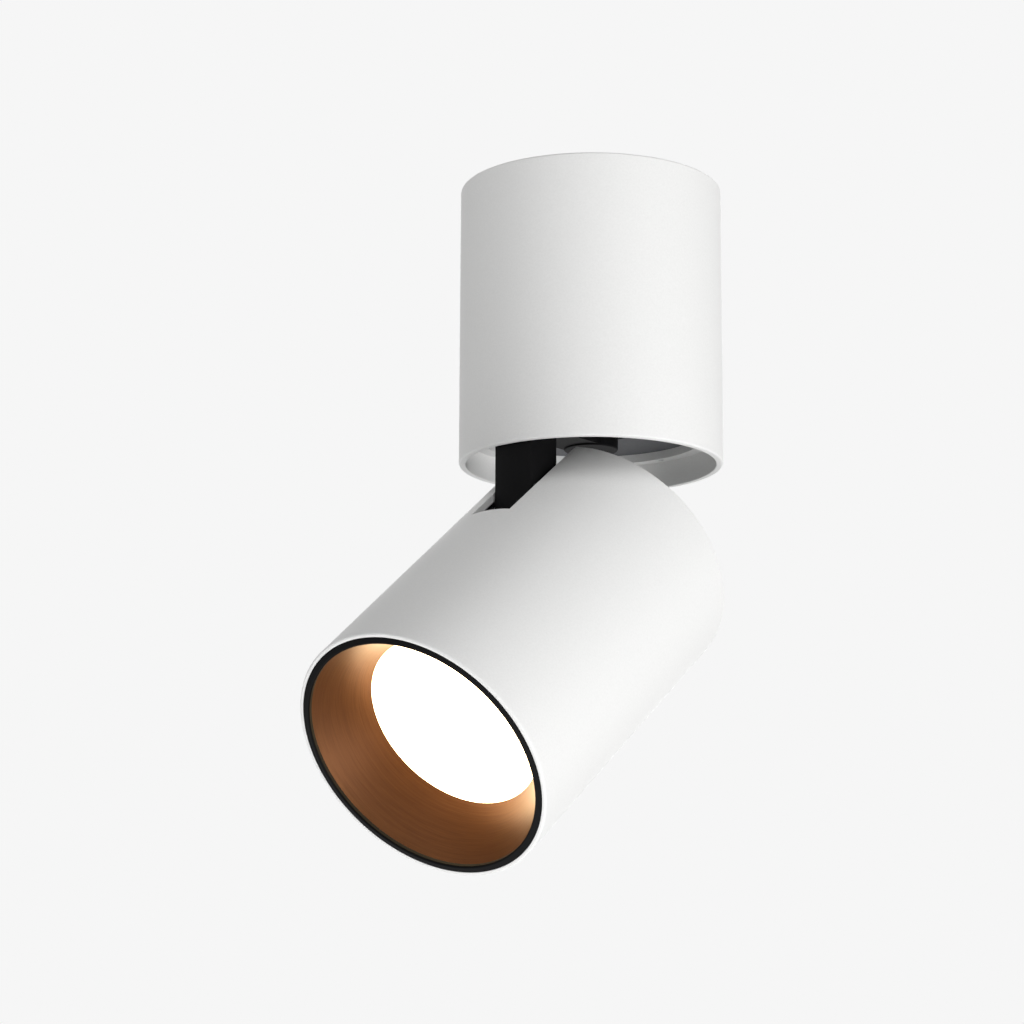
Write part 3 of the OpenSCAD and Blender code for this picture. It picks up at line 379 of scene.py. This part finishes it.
# One finish for each material slot of the record
finishes = {
    # Polyester powder coat, sprayed and baked: matte, with a fine even orange peel
    "white_powder_coat": grainy("powderCoatWhite", "#EEEEED", 0.55, grainMm=0.55,
                                depthMm=0.030, tone=0.02, specular=0.4),
    # Black powder coat: nearly no mirror, with a soft grey sheen at grazing angles
    "black_powder_coat": grainy("powderCoatBlack", "#0F0F10", 0.55, grainMm=0.45,
                                depthMm=0.020, tone=0.15, specular=0.05),
    # Black anodised aluminium, turned: darker and a little glossier than the coat
    "black_anodised": grainy("anodisedBlack", "#040405", 0.40, grainMm=0.35,
                             depthMm=0.006, tone=0.15, specular=0.05),
    "bronze_anodised": makeBronze(),
    # Die-cast aluminium, tumbled: pale grey and dull, with no mirror left
    "raw_aluminium": grainy("aluminiumCast", "#A9ABAD", 0.50, grainMm=0.5, depthMm=0.015,
                            tone=0.05, specular=0.6),
    # Spun and polished aluminium: a bright, nearly even mirror
    "polished_aluminium": bareMetal("aluminiumPolished", "#DCDDDF", 0.16, 0.8, 0.001),
    # Zinc plate on steel: bluish white, bright but a little clouded
    "zinc_plated_steel": bareMetal("zincPlatedSteel", "#C4C8CC", 0.34, 0.9, 0.002),
    # Rolled spring steel: plain grey and smooth
    "spring_steel": bareMetal("springSteel", "#A9ABAE", 0.28, 0.8, 0.001),
    # Steel blackened in a salt bath: dark, with a low oily gloss
    "blackened_steel": bareMetal("blackenedSteel", "#3B3C3F", 0.40, 0.7, 0.002),
    # Brass turned from the bar: yellow, with fine marks
    "brass": bareMetal("brassTurned", "#C9A25B", 0.30, 0.7, 0.002),
    # Moulded rubber: black and without gloss
    "grommet_rubber": grainy("rubberMoulded", "#232324", 0.70, grainMm=0.5, depthMm=0.012,
                             tone=0.10, specular=0.35),
    # Moulded polyamide: cream white with a half gloss
    "white_polyamide": grainy("polyamideMoulded", "#E6E3DA", 0.46, 0.6, 0.008),
    # Turned acetal: creamy and waxy
    "acetal": grainy("acetalTurned", "#E9E5D9", 0.40, 0.7, 0.004, tone=0.02),
    # Moulded polycarbonate: a clean white with a half gloss
    "white_polycarbonate": grainy("polycarbonateMoulded", "#F0F0EC", 0.38, 0.8, 0.006,
                                  tone=0.02),
    "circuit_board": makeCircuitBoard(),
    # Sintered ferrite: dark grey, dull and sandy
    "ferrite": grainy("ferriteSintered", "#2C2D30", 0.62, grainMm=0.4, depthMm=0.012,
                      tone=0.12, specular=0.35),
    # Shrunk sleeve of a capacitor: dark blue and glossy
    "capacitor_sleeve": grainy("capacitorSleeve", "#26304E", 0.30, 0.9, 0.003, tone=0.05),
    # Enamelled copper wire, wound close: its turns show as fine upright lines
    "copper_winding": bareMetal("copperEnamelled", "#B5683C", 0.26, 0.5, 0.06,
                                stretch=(1, 1, 0.1)),
    # Extruded insulation: an even colour with a half gloss
    "brown_insulation": grainy("insulationBrown", "#6A4127", 0.44, 0.8, 0.004, tone=0.05),
    "earth_insulation": makeEarthInsulation(),
    "black_insulation": grainy("insulationBlack", "#1C1C1D", 0.46, grainMm=0.8,
                               depthMm=0.004, tone=0.08, specular=0.4),
    # Pressed friction fibre: brown, speckled and dry
    "friction_fibre": grainy("fibreWasher", "#6B4A34", 0.78, grainMm=0.35, depthMm=0.02,
                             tone=0.20, specular=0.3),
    # Filled silicone: grey blue, soft and dull
    "thermal_pad": grainy("siliconePad", "#8FA6B4", 0.72, grainMm=0.5, depthMm=0.01,
                          tone=0.06, specular=0.3),
    # Glazed ceramic board: white with a half gloss
    "led_board": grainy("ceramicBoard", "#ECEAE3", 0.42, 0.7, 0.004, tone=0.02),
    "phosphor": makePhosphor(),
    "opal_lens": makeLensGlow(),
}
# The heat sink's cast aluminium, made darker and duller for the partition: painted shade for its place deep in the
# canopy
shadeDarkenedAluminium = grainy("aluminiumPaintedShade", "#5B5C5F", 0.60, grainMm=0.6, depthMm=0.020,
                       tone=0.08, specular=0.3)
print("materials ready")


canopy = {"top": -0.3, "rim": -81.0, "screwAngles": (140, 220), "screwHeight": -8.0,
          "screwHole": 1.6, "holeColumns": 48, "drillFrom": 30, "drillTo": 40}


def makeCanopyTube():
    outline = rounded([
        (tube["outer"], canopy["rim"], tube["edge"]),
        (tube["outer"], canopy["top"], tube["edge"]),
        (tube["inner"], canopy["top"], tube["innerEdge"]),
        (tube["inner"], canopy["rim"], tube["innerEdge"])])
    obj = asObject("canopyTube", turned(outline, tube["columns"]))
    for angle in canopy["screwAngles"]:
        aim = (Matrix.Translation((0, 0, canopy["screwHeight"]))
               @ Matrix.Rotation(math.radians(angle), 4, "Z")
               @ Matrix.Rotation(math.radians(90), 4, "X"))
        drillHole(obj, canopy["screwHole"], canopy["holeColumns"], canopy["drillFrom"],
                  canopy["drillTo"], aim)
    settle(obj, "white_powder_coat", upright, "canopy", "upper_shell")


makeCanopyTube()


# Black arm: a bar under the partition, bent down into the leg with its round end
arm = {"halfWidth": 6.4, "barBottom": -76.2, "barTop": -72.0, "barEnd": 31.2, "barOver": 4.1,
       "shoulder": -73.8, "legOuter": 34.9, "legInner": 23.3, "knuckle": 11.6,
       "knuckleStep": 6, "pinHole": 2.55, "pinHoleColumns": 64, "pinDrill": 10, "leadHole": 1.5,
       "leadHoleHeight": -89.9, "leadDrillFrom": 20, "leadDrillTo": 28, "edge": 0.45,
       "slices": 12, "leadHoleColumns": 48,
       "free": 99}      # farther out than any point of the arm
# Boss under the bar, and the hollow neck that swivels in the partition
hub = {"boss": 7.7, "bottom": -76.6, "neck": 5.0, "top": -61.5, "bore": 2.6,
       "boreFloor": -75.7, "edge": 0.4, "bossTopEdge": 0.2, "neckEdge": 0.5,
       "columns": 128, "boreColumns": 64}


def makeYoke():
    # Side outline of the arm, with the radius that each point may not pass
    knuckle = [(pivot.y + arm["knuckle"] * math.sin(math.radians(a)),
                pivot.z - arm["knuckle"] * math.cos(math.radians(a)), arm["legOuter"])
               for a in range(-90, 181, arm["knuckleStep"])]
    outline = ([(arm["barOver"], arm["barTop"], arm["free"]),
                (-arm["barEnd"], arm["barTop"], arm["barEnd"]),
                (-arm["barEnd"], arm["shoulder"], arm["barEnd"]),
                (-arm["legOuter"], arm["shoulder"], arm["legOuter"]),
                (-arm["legOuter"], pivot.z, arm["legOuter"])] + knuckle
               + [(-arm["legInner"], pivot.z + arm["knuckle"], arm["free"]),
                  (-arm["legInner"], arm["barBottom"], arm["free"]),
                  (arm["barOver"], arm["barBottom"], arm["free"])])
    bm = bmesh.new()
    slices = []
    for k in range(arm["slices"] + 1):
        x = arm["halfWidth"] * (2 * k / arm["slices"] - 1)
        slices.append([bm.verts.new((x, max(y, -math.sqrt(reach ** 2 - x ** 2)), z))
                       for y, z, reach in outline])
    for first, second in zip(slices, slices[1:]):
        for i in range(len(outline)):
            m = (i + 1) % len(outline)
            bm.faces.new((first[i], first[m], second[m], second[i]))
    bm.faces.new(slices[0])
    bm.faces.new(slices[-1][::-1])
    obj = asObject("yokeArm", bm)
    roundEdges(obj, arm["edge"], segments=4, angle=40)
    spigot = rounded([
        (0, hub["bottom"], 0), (hub["boss"], hub["bottom"], hub["edge"]),
        (hub["boss"], arm["barTop"], hub["bossTopEdge"]), (hub["neck"], arm["barTop"], 0),
        (hub["neck"], hub["top"], hub["neckEdge"]), (0, hub["top"], 0)])
    combine(obj, asObject("hub", turned(spigot, hub["columns"])), "UNION")
    drillHole(obj, hub["bore"], hub["boreColumns"], hub["boreFloor"],
              hub["top"] + cutterPast, upright)
    drillHole(obj, arm["pinHole"], arm["pinHoleColumns"], -arm["pinDrill"], arm["pinDrill"],
              Matrix.Translation(pivot) @ Matrix.Rotation(math.pi / 2, 4, "Y"))
    drillHole(obj, arm["leadHole"], arm["leadHoleColumns"], arm["leadDrillFrom"],
              arm["leadDrillTo"],
              Matrix.Translation((0, 0, arm["leadHoleHeight"]))
              @ Matrix.Rotation(math.pi / 2, 4, "X"))
    settle(obj, "black_powder_coat", upright, "yoke", "yoke")


makeYoke()


# Tube of the head: its slot for the leg is open at the back end and narrows a little
head = {"length": 100.5, "edge": 0.25, "slotDepth": 35.5, "slotTop": 7.5, "slotEnd": 6.8,
        "slotColumns": 10, "firstRow": 4, "rows": 10, "shelfTop": 44.0, "shelfBottom": 46.0,
        "shelfRadius": 34.3, "rebateDepth": 1.0, "rebateRadius": 36.4, "rebateEdge": 0.1}


def makeHeadTube():
    rebateFloor = head["length"] - head["rebateDepth"]
    ends = rounded([
        (tube["inner"], 0, tube["innerEdge"]), (tube["outer"], 0, tube["edge"]),
        (tube["outer"], head["length"], tube["edge"]),
        (head["rebateRadius"], head["length"], head["rebateEdge"]),
        (head["rebateRadius"], rebateFloor, 0),
        (tube["inner"], rebateFloor, head["rebateEdge"])])
    bottom = head["slotDepth"]
    backEnd = [p for p in ends if p[1] < bottom]       # inner edge, over the end, outer edge
    frontEnd = [p for p in ends if p[1] > bottom]
    first, last = head["firstRow"], head["rows"] - 1
    steps = [first + (bottom - first) * k / last for k in range(head["rows"])]
    profile = (backEnd + [(tube["outer"], u) for u in steps] + frontEnd
               + [(tube["inner"], head["shelfBottom"]),
                  (head["shelfRadius"], head["shelfBottom"]),
                  (head["shelfRadius"], head["shelfTop"]), (tube["inner"], head["shelfTop"])]
               + [(tube["inner"], u) for u in reversed(steps)])
    bm = bmesh.new()
    columns, gate = tube["columns"], head["slotColumns"]
    # Rows run round the tube from the slot's one side to the other, and gates close
    # the rows below the slot
    rows, gates = [], []
    for r, u in profile:
        depth = min(u, bottom)
        halfWidth = head["slotTop"] + (head["slotEnd"] - head["slotTop"]) * depth / bottom
        start = math.asin(halfWidth / r)
        turns = [start + (2 * math.pi - 2 * start) * k / columns for k in range(columns + 1)]
        row = [bm.verts.new(onRing(r, a, -u)) for a in turns]
        rows.append(row)
        if u > bottom - 1e-6:
            inside = [-start + 2 * start * k / gate for k in range(1, gate)]
            gates.append([row[-1]] + [bm.verts.new(onRing(r, a, -u)) for a in inside]
                         + [row[0]])
        else:
            gates.append(None)
    count = len(profile)
    for i in range(count):
        m = (i + 1) % count
        for k in range(columns):
            bm.faces.new((rows[i][k], rows[i][k + 1], rows[m][k + 1], rows[m][k]))
        if gates[i] and gates[m]:
            for k in range(gate):
                bm.faces.new((gates[i][k], gates[i][k + 1], gates[m][k + 1], gates[m][k]))
    # Floor and both sides of the slot
    closed = [i for i in range(count) if gates[i]]
    outerEnd, innerEnd = closed[0], closed[-1]
    for k in range(gate):
        bm.faces.new((gates[innerEnd][k], gates[innerEnd][k + 1],
                      gates[outerEnd][k + 1], gates[outerEnd][k]))
    order = list(range(innerEnd, count)) + list(range(0, outerEnd + 1))
    bm.faces.new([rows[i][0] for i in order])
    bm.faces.new([rows[i][-1] for i in reversed(order)])
    obj = asObject("headTube", bm)
    roundEdges(obj, head["edge"], segments=3, angle=50)
    settle(obj, "white_powder_coat", headPlace, "head", "head_shell")


# Lid in the head's back end, notched for the leg
cover = {"radius": 35.25, "from": 1.0, "to": 3.0, "notch": 7.4, "notchDepth": 22.5,
         "columns": 180, "edge": 0.3, "screwRing": 27.0, "screwAngles": (60, 180, 300),
         "screwHole": 1.6, "screwSeat": 2.95, "seatDepth": 0.9, "holeColumns": 48,
         "drillTop": 2, "drillBottom": -5}


def makeRearCover():
    start = math.asin(cover["notch"] / cover["radius"])
    sweep = 2 * math.pi - 2 * start
    outline = [onRing(cover["radius"], start + sweep * k / cover["columns"], 0)[:2]
               for k in range(cover["columns"] + 1)]
    outline += [(-cover["notch"], -cover["notchDepth"]),
                (cover["notch"], -cover["notchDepth"])]
    obj = asObject("rearCover", extruded(outline, -cover["to"], -cover["from"]))
    for angle in cover["screwAngles"]:
        spot = (Matrix.Rotation(math.radians(angle), 4, "Z")
                @ Matrix.Translation((0, -cover["screwRing"], 0)))
        for radius, low in ((cover["screwHole"], cover["drillBottom"]),
                            (cover["screwSeat"], -cover["from"] - cover["seatDepth"])):
            drillHole(obj, radius, cover["holeColumns"], low, cover["drillTop"], spot)
    roundEdges(obj, cover["edge"], segments=3, angle=50)
    settle(obj, "white_powder_coat", headPlace, "head", "back_cover")


mouth = -head["length"]     # height of the head's open end, from which the ring is placed
ring = {"crown": mouth - 0.3, "face": mouth, "shoulder": mouth + head["rebateDepth"],
        "out": 36.35, "in": 34.35, "top": 34.9, "innerFillet": 0.5, "crownFillet": 0.3,
        "edge": 0.12, "skirtOut": 35.25, "skirtIn": 34.75, "skirtEnd": mouth + 7.0,
        "skirtEdge": 0.1}


def makeFrontRing():
    outline = rounded([
        (ring["in"], ring["crown"], ring["innerFillet"]),
        (ring["top"], ring["crown"], ring["crownFillet"]),
        (ring["out"], ring["face"], ring["edge"]),
        (ring["out"], ring["shoulder"], 0), (ring["skirtOut"], ring["shoulder"], 0),
        (ring["skirtOut"], ring["skirtEnd"], ring["skirtEdge"]),
        (ring["skirtIn"], ring["skirtEnd"], ring["skirtEdge"]),
        (ring["skirtIn"], ring["shoulder"], 0), (ring["in"], ring["shoulder"], 0)])
    settle(asObject("frontRing", turned(outline, tube["columns"])), "black_anodised",
           headPlace, "head", "front_ring")


# Cone from the ring down to the lens, with a lip behind the ring
cone = {"mouth": ring["in"], "front": ring["shoulder"], "throat": 25.6,
        "back": ring["shoulder"] + 16.0, "foot": 27.8, "lip": 0.35, "lipHeight": 0.8,
        "edge": 0.15}


def makeGlareCone():
    outline = rounded([
        (cone["throat"], cone["back"], cone["edge"]), (cone["foot"], cone["back"], 0),
        (cone["mouth"] + cone["lip"], cone["front"] + cone["lipHeight"], 0),
        (cone["mouth"] + cone["lip"], cone["front"], 0), (cone["mouth"], cone["front"], 0)])
    settle(asObject("glareCone", turned(outline, tube["columns"])), "bronze_anodised",
           headPlace, "head", "anti_glare_cone")


disc = {"radius": 27.0, "front": cone["back"], "back": cone["back"] + 2.0, "edge": 0.3,
        "columns": 128}


def makeLensDisc():
    outline = rounded([
        (0, disc["back"], 0), (disc["radius"], disc["back"], disc["edge"]),
        (disc["radius"], disc["front"], disc["edge"]), (0, disc["front"], 0)])
    settle(asObject("lensDisc", turned(outline, disc["columns"])), "opal_lens", headPlace,
           "head", "lens")


makeHeadTube()
makeRearCover()
makeFrontRing()
makeGlareCone()
makeLensDisc()


# Starts a Geometry Nodes tree with named inputs, and keeps each input's identifier
def startTree(name, inputs):
    tree = bpy.data.node_groups.new(name, "GeometryNodeTree")
    sockets = {}
    for label, kind in inputs.items():
        sockets[label] = tree.interface.new_socket(
            label, in_out="INPUT", socket_type="NodeSocket" + kind).identifier
    tree.interface.new_socket("Geometry", in_out="OUTPUT", socket_type="NodeSocketGeometry")
    return tree, sockets, addNode(tree, "NodeGroupInput")


# Ends a tree with real geometry in its material
def endTree(tree, geometry, given):
    real = addNode(tree, "GeometryNodeRealizeInstances", {"Geometry": geometry})
    coat = addNode(tree, "GeometryNodeSetMaterial", {
        "Geometry": real.outputs[0], "Material": given.outputs["Material"]})
    addNode(tree, "NodeGroupOutput", {"Geometry": coat.outputs[0]})


# Runs a tree on a piece and keeps what it makes
def runTree(obj, tree, sockets, values):
    modifier = obj.modifiers.new(tree.name, "NODES")
    modifier.node_group = tree
    for label, value in values.items():
        modifier[sockets[label]] = value
    bakeModifiers(obj)


# Puts copies of a piece on a ring round the axis, counted from the front
def makeRingTree():
    tree, sockets, given = startTree("screwRing", {
        "Geometry": "Geometry", "Count": "Int", "Ring Radius": "Float",
        "First Angle": "Float", "Step": "Float", "Material": "Material"})
    index = addNode(tree, "GeometryNodeInputIndex")
    angle = addNode(tree, "ShaderNodeMath", {
        0: index.outputs[0], 1: given.outputs["Step"], 2: given.outputs["First Angle"]},
        operation="MULTIPLY_ADD")
    sine = addNode(tree, "ShaderNodeMath", {0: angle.outputs[0]}, operation="SINE")
    cosine = addNode(tree, "ShaderNodeMath", {0: angle.outputs[0]}, operation="COSINE")
    across = addNode(tree, "ShaderNodeMath", {
        0: sine.outputs[0], 1: given.outputs["Ring Radius"]}, operation="MULTIPLY")
    behind = addNode(tree, "ShaderNodeMath", {
        0: cosine.outputs[0], 1: given.outputs["Ring Radius"]}, operation="MULTIPLY")
    forward = addNode(tree, "ShaderNodeMath", {0: behind.outputs[0], 1: -1.0},
                      operation="MULTIPLY")
    spot = addNode(tree, "ShaderNodeCombineXYZ", {
        "X": across.outputs[0], "Y": forward.outputs[0]})
    turn = addNode(tree, "ShaderNodeCombineXYZ", {"Z": angle.outputs[0]})
    points = addNode(tree, "GeometryNodePoints", {
        "Count": given.outputs["Count"], "Position": spot.outputs[0]})
    copies = addNode(tree, "GeometryNodeInstanceOnPoints", {
        "Points": points.outputs[0], "Instance": given.outputs["Geometry"],
        "Rotation": turn.outputs[0]})
    endTree(tree, copies.outputs[0], given)
    return tree, sockets


ringTree, ringSockets = makeRingTree()

# What all screws share: the thread, the edges and tip, and the hexagon socket, whose
# size is a share of the head's
screwForm = {"threadFrom": 0.4, "threadDepth": 0.12, "headEdge": 0.35, "seatEdge": 0.1,
             "edgeSteps": 4, "tipLength": 0.3, "tipStart": 0.15, "tipEnd": 0.4,
             "socket": 0.55, "socketSides": 6, "columns": 40}
screwRings = [
    {"name": "coverScrews", "node": "back_cover_screws", "body": "head",
     "place": headPlace @ Matrix.Translation((0, 0, -cover["from"] - cover["seatDepth"])),
     "head": 2.7, "headHeight": 1.8, "shank": 1.2, "length": 8.0, "pitch": 0.5,
     "count": 3, "ring": cover["screwRing"], "first": 60, "step": 120},
    {"name": "ledgeScrews", "node": "partition_screws", "body": "canopy",
     "place": Matrix.Translation((0, 0, -68.6)),
     "head": 2.2, "headHeight": 1.6, "shank": 0.95, "length": 4.6, "pitch": 0.45,
     "count": 3, "ring": 33.0, "first": 60, "step": 120}]


# Screw with its head's underside at height 0, a hexagon socket and rings for its thread
def makeScrewShape(screw):
    shank, length = screw["shank"], screw["length"]
    thread = []
    for k in range(int(length / screw["pitch"]) - 1):
        z = -screwForm["threadFrom"] - k * screw["pitch"]
        thread += [(shank - screwForm["threadDepth"], z, 0),
                   (shank, z - screw["pitch"] / 2, 0)]
    outline = rounded(
        [(0, screw["headHeight"], 0),
         (screw["head"], screw["headHeight"], screwForm["headEdge"]),
         (screw["head"], 0, screwForm["seatEdge"])] + thread
        + [(shank - screwForm["tipStart"], -length + screwForm["tipLength"], 0),
           (shank - screwForm["tipEnd"], -length, 0), (0, -length, 0)],
        screwForm["edgeSteps"])
    obj = asObject(screw["name"], turned(outline, screwForm["columns"]))
    drillHole(obj, screw["head"] * screwForm["socket"], screwForm["socketSides"],
              screw["headHeight"] / 2, screw["headHeight"] + cutterPast, upright)
    return obj


for screw in screwRings:
    screws = makeScrewShape(screw)
    runTree(screws, ringTree, ringSockets, {
        "Count": screw["count"], "Ring Radius": screw["ring"],
        "First Angle": math.radians(screw["first"]), "Step": math.radians(screw["step"]),
        "Material": finishes["zinc_plated_steel"]})
    settle(screws, "zinc_plated_steel", screw["place"], screw["body"], screw["node"])


# Skins a route of points: a smooth curve through them with a round section
def makeLeadTree():
    tree, sockets, given = startTree("leadAlongRoute", {
        "Geometry": "Geometry", "Radius": "Float", "Material": "Material"})
    route = addNode(tree, "GeometryNodeMeshToCurve", {"Mesh": given.outputs["Geometry"]})
    bend = addNode(tree, "GeometryNodeCurveSplineType", {"Curve": route.outputs[0]},
                   spline_type="CATMULL_ROM")
    fine = addNode(tree, "GeometryNodeSetSplineResolution", {
        "Geometry": bend.outputs[0], "Resolution": 10})
    section = addNode(tree, "GeometryNodeCurvePrimitiveCircle", {
        "Resolution": 20, "Radius": given.outputs["Radius"]})
    skin = addNode(tree, "GeometryNodeCurveToMesh", {
        "Curve": fine.outputs[0], "Profile Curve": section.outputs[0], "Fill Caps": True})
    endTree(tree, skin.outputs[0], given)
    return tree, sockets


leadTree, leadSockets = makeLeadTree()

leads = [
    # Line and neutral, from the terminal block down to the driver
    {"name": "mainsLeads", "node": "mains_leads", "body": "canopy", "place": upright,
     "slot": "brown_insulation", "radius": 1.08, "routes": [
         [(-7, 19.5, -7), (-7, 13.5, -7), (-11, 9.5, -10), (-21, 7, -25.4),
          (-27, 6, -27.8), (-27.6, 6, -32.8), (-26.4, 6, -42.1), (-21.9, 6, -43.6)],
         [(0, 19.5, -7), (0, 13.5, -7), (-4, 6.5, -10), (-21, 1, -25.4),
          (-27, 0, -27.8), (-27.6, 0, -32.8), (-26.4, 0, -42.1), (-21.9, 0, -43.6)]]},
    # From the terminal block to the earth screw
    {"name": "earthLead", "node": "earth_lead", "body": "canopy", "place": upright,
     "slot": "earth_insulation", "radius": 1.08, "routes": [
         [(7, 19.5, -7), (7, 13.5, -7), (6, 6.5, -10), (0, -8.53, -9),
          (-9.48, -15.06, -6.4), (-14.65, -16.06, -3.25)]]},
    # From the driver to the top of the neck
    {"name": "outputLead", "node": "output_lead", "body": "canopy", "place": upright,
     "slot": "black_insulation", "radius": 1.08, "routes": [
         [(21.9, 0, -43.6), (26.4, 1, -45.1), (27.6, 8, -54.8), (18, 13, -59),
          (9, 9, -59.5), (1, 1, -59), (0, 0, -61.1)]]},
    # Down the neck, along the bar and down the leg to its inner face
    {"name": "yokeLead", "node": "yoke_lead", "body": "yoke", "place": upright,
     "slot": "black_insulation", "radius": 0.88, "routes": [
         [(0, 0, -61.6), (0, 0, -68), (0, 0, -72.7), (0, -1.4, -74.1),
          (0, -13.95, -74.1), (0, -26.5, -74.1), (0, -27.55, -74.45),
          (0, -27.9, -75.5), (0, -27.9, -88.5), (0, -27.55, -89.55),
          (0, -26.5, -89.9), (0, -23.1, -89.9)]]},
    # Through the heat sink to the light source
    {"name": "headLead", "node": "head_lead", "body": "head", "place": headPlace,
     "slot": "black_insulation", "radius": 0.88, "routes": [
         [(0, -16, -36), (0, -16, -46), (0, -16, -51), (0, -15.2, -53.4),
          (0, -12, -55.3), (0, -8.6, -55)]]}]

for lead in leads:
    bm = bmesh.new()
    for route in lead["routes"]:
        points = [bm.verts.new(point) for point in route]
        for first, second in zip(points, points[1:]):
            bm.edges.new((first, second))
    wires = asObject(lead["name"], bm)
    runTree(wires, leadTree, leadSockets, {
        "Radius": lead["radius"], "Material": finishes[lead["slot"]]})
    settle(wires, lead["slot"], lead["place"], lead["body"], lead["node"], sharpAngle=50)


# Pieces that keep their construction shape get the finish of their slot
for part in frame["record"]["subparts"]:
    for holder in frame["nodes"][part["node"]].material_slots:
        holder.material = finishes[part["material_slot"]]
# The partition takes the darkened aluminium, painted shade of the canopy's recess
for holder in frame["nodes"]["partition"].material_slots:
    holder.material = shadeDarkenedAluminium
print("CAD pieces finished")


# Camera, fitted to the outlines of both tubes in the photograph
view = {"aim": (-0.01765, -0.01371, -0.09430), "azimuth": 40.169, "elevation": -11.909,
        "distance": 0.8333, "roll": 0.255, "lens": 103.44, "sensor": 36,
        "nearest": 0.01, "farthest": 50}


# Direction at an azimuth from the front and an elevation above level, in degrees
def direction(azimuth, elevation):
    side, rise = math.radians(azimuth), math.radians(elevation)
    return Vector((math.sin(side) * math.cos(rise), -math.cos(side) * math.cos(rise),
                   math.sin(rise)))


def makeCamera():
    side, roll = math.radians(view["azimuth"]), math.radians(view["roll"])
    back = direction(view["azimuth"], view["elevation"])
    level = Vector((math.cos(side), math.sin(side), 0))
    right = level * math.cos(roll) + back.cross(level) * math.sin(roll)
    up = back.cross(right)
    spot = Vector(view["aim"]) + back * view["distance"]
    data = bpy.data.cameras.new("camera")
    data.sensor_width = view["sensor"]
    data.lens = view["lens"]
    data.clip_start = view["nearest"]
    data.clip_end = view["farthest"]
    camera = bpy.data.objects.new("camera", data)
    camera.matrix_world = Matrix((
        (right.x, up.x, back.x, spot.x), (right.y, up.y, back.y, spot.y),
        (right.z, up.z, back.z, spot.z), (0, 0, 0, 1)))
    bpy.context.scene.collection.objects.link(camera)
    bpy.context.scene.camera = camera


# Equal square soft boxes that face the lamp, with each one's azimuth, elevation and watts
softBox = {"aim": (0, 0, -0.09), "distance": 1.25, "size": 0.7}
softBoxes = {"keyLight": (95, -20, 9.5), "sideLight": (130, -20, 1.5),
             "lowLeftLight": (-35, -55, 5.0), "lowRightLight": (35, -55, 4.2),
             "topLight": (65, 45, 3.9), "frontLight": (0, 10, 2.3),
             "backLight": (-140, 12, 4.0)}


def addSoftBox(name, azimuth, elevation, watts):
    away = direction(azimuth, elevation)
    data = bpy.data.lights.new(name, "AREA")
    data.shape = "SQUARE"
    data.size = softBox["size"]
    data.energy = watts
    light = bpy.data.objects.new(name, data)
    light.location = Vector(softBox["aim"]) + away * softBox["distance"]
    light.rotation_euler = away.to_track_quat("Z", "Y").to_euler()
    bpy.context.scene.collection.objects.link(light)


# Share of rays that see a surface straight on, in a mirror or through glass
def seenDirectly(tree):
    path = addNode(tree, "ShaderNodeLightPath")
    direct = addNode(tree, "ShaderNodeMath", {
        0: path.outputs["Is Camera Ray"], 1: path.outputs["Is Glossy Ray"]}, operation="MAXIMUM")
    seen = addNode(tree, "ShaderNodeMath", {
        0: direct.outputs[0], 1: path.outputs["Is Transmission Ray"]}, operation="MAXIMUM")
    return seen.outputs[0]


room = {"paleness": 0.9216, "ambient": 0.18, "floorPaleness": 0.72, "floorHeight": -1.4,
        "floorHalf": 12, "floorCells": 8}


# Painted floor far below the lamp, which looks pale without lighting the lamp
def makeFloor():
    specklesPerMetre = 60.0   # roller marks about 17 mm across
    bm = bmesh.new()
    bmesh.ops.create_grid(bm, x_segments=room["floorCells"], y_segments=room["floorCells"],
                          size=room["floorHalf"])
    floor = asObject("floor", bm)
    floor.data.transform(Matrix.Translation((0, 0, room["floorHeight"])))
    material, tree, shader = startMaterial("floorPaint", "#F4F4F4", 0.9)
    where = addNode(tree, "ShaderNodeTexCoord").outputs["Object"]
    speckle = addNode(tree, "ShaderNodeTexNoise", {"Vector": where, "Scale": specklesPerMetre})
    bump = addNode(tree, "ShaderNodeBump", {
        "Height": speckle.outputs["Fac"], "Distance": 0.0002, "Strength": 0.3})
    glow = addNode(tree, "ShaderNodeMath", {
        0: seenDirectly(tree), 1: room["floorPaleness"]}, operation="MULTIPLY")
    feed(tree, shader, {"Normal": bump.outputs["Normal"],
                        "Emission Color": hexToLinear("#FFFFFF"),
                        "Emission Strength": glow.outputs[0]})
    floor.data.materials.append(material)


# Pale room seen directly and in reflections, with a dimmer light on the object
def makeWorld():
    world = bpy.data.worlds.new("room")
    bpy.context.scene.world = world
    world.use_nodes = True
    tree = world.node_tree
    tree.nodes.clear()
    level = addNode(tree, "ShaderNodeMapRange", {
        "Value": seenDirectly(tree), "To Min": room["ambient"], "To Max": room["paleness"]})
    back = addNode(tree, "ShaderNodeBackground", {
        "Color": (1, 1, 1, 1), "Strength": level.outputs["Result"]})
    addNode(tree, "ShaderNodeOutputWorld", {"Surface": back.outputs[0]})


makeCamera()
makeWorld()
for name, (azimuth, elevation, watts) in softBoxes.items():
    addSoftBox(name, azimuth, elevation, watts)
makeFloor()
bpy.context.scene.view_settings.view_transform = "Standard"
print("camera and light ready")
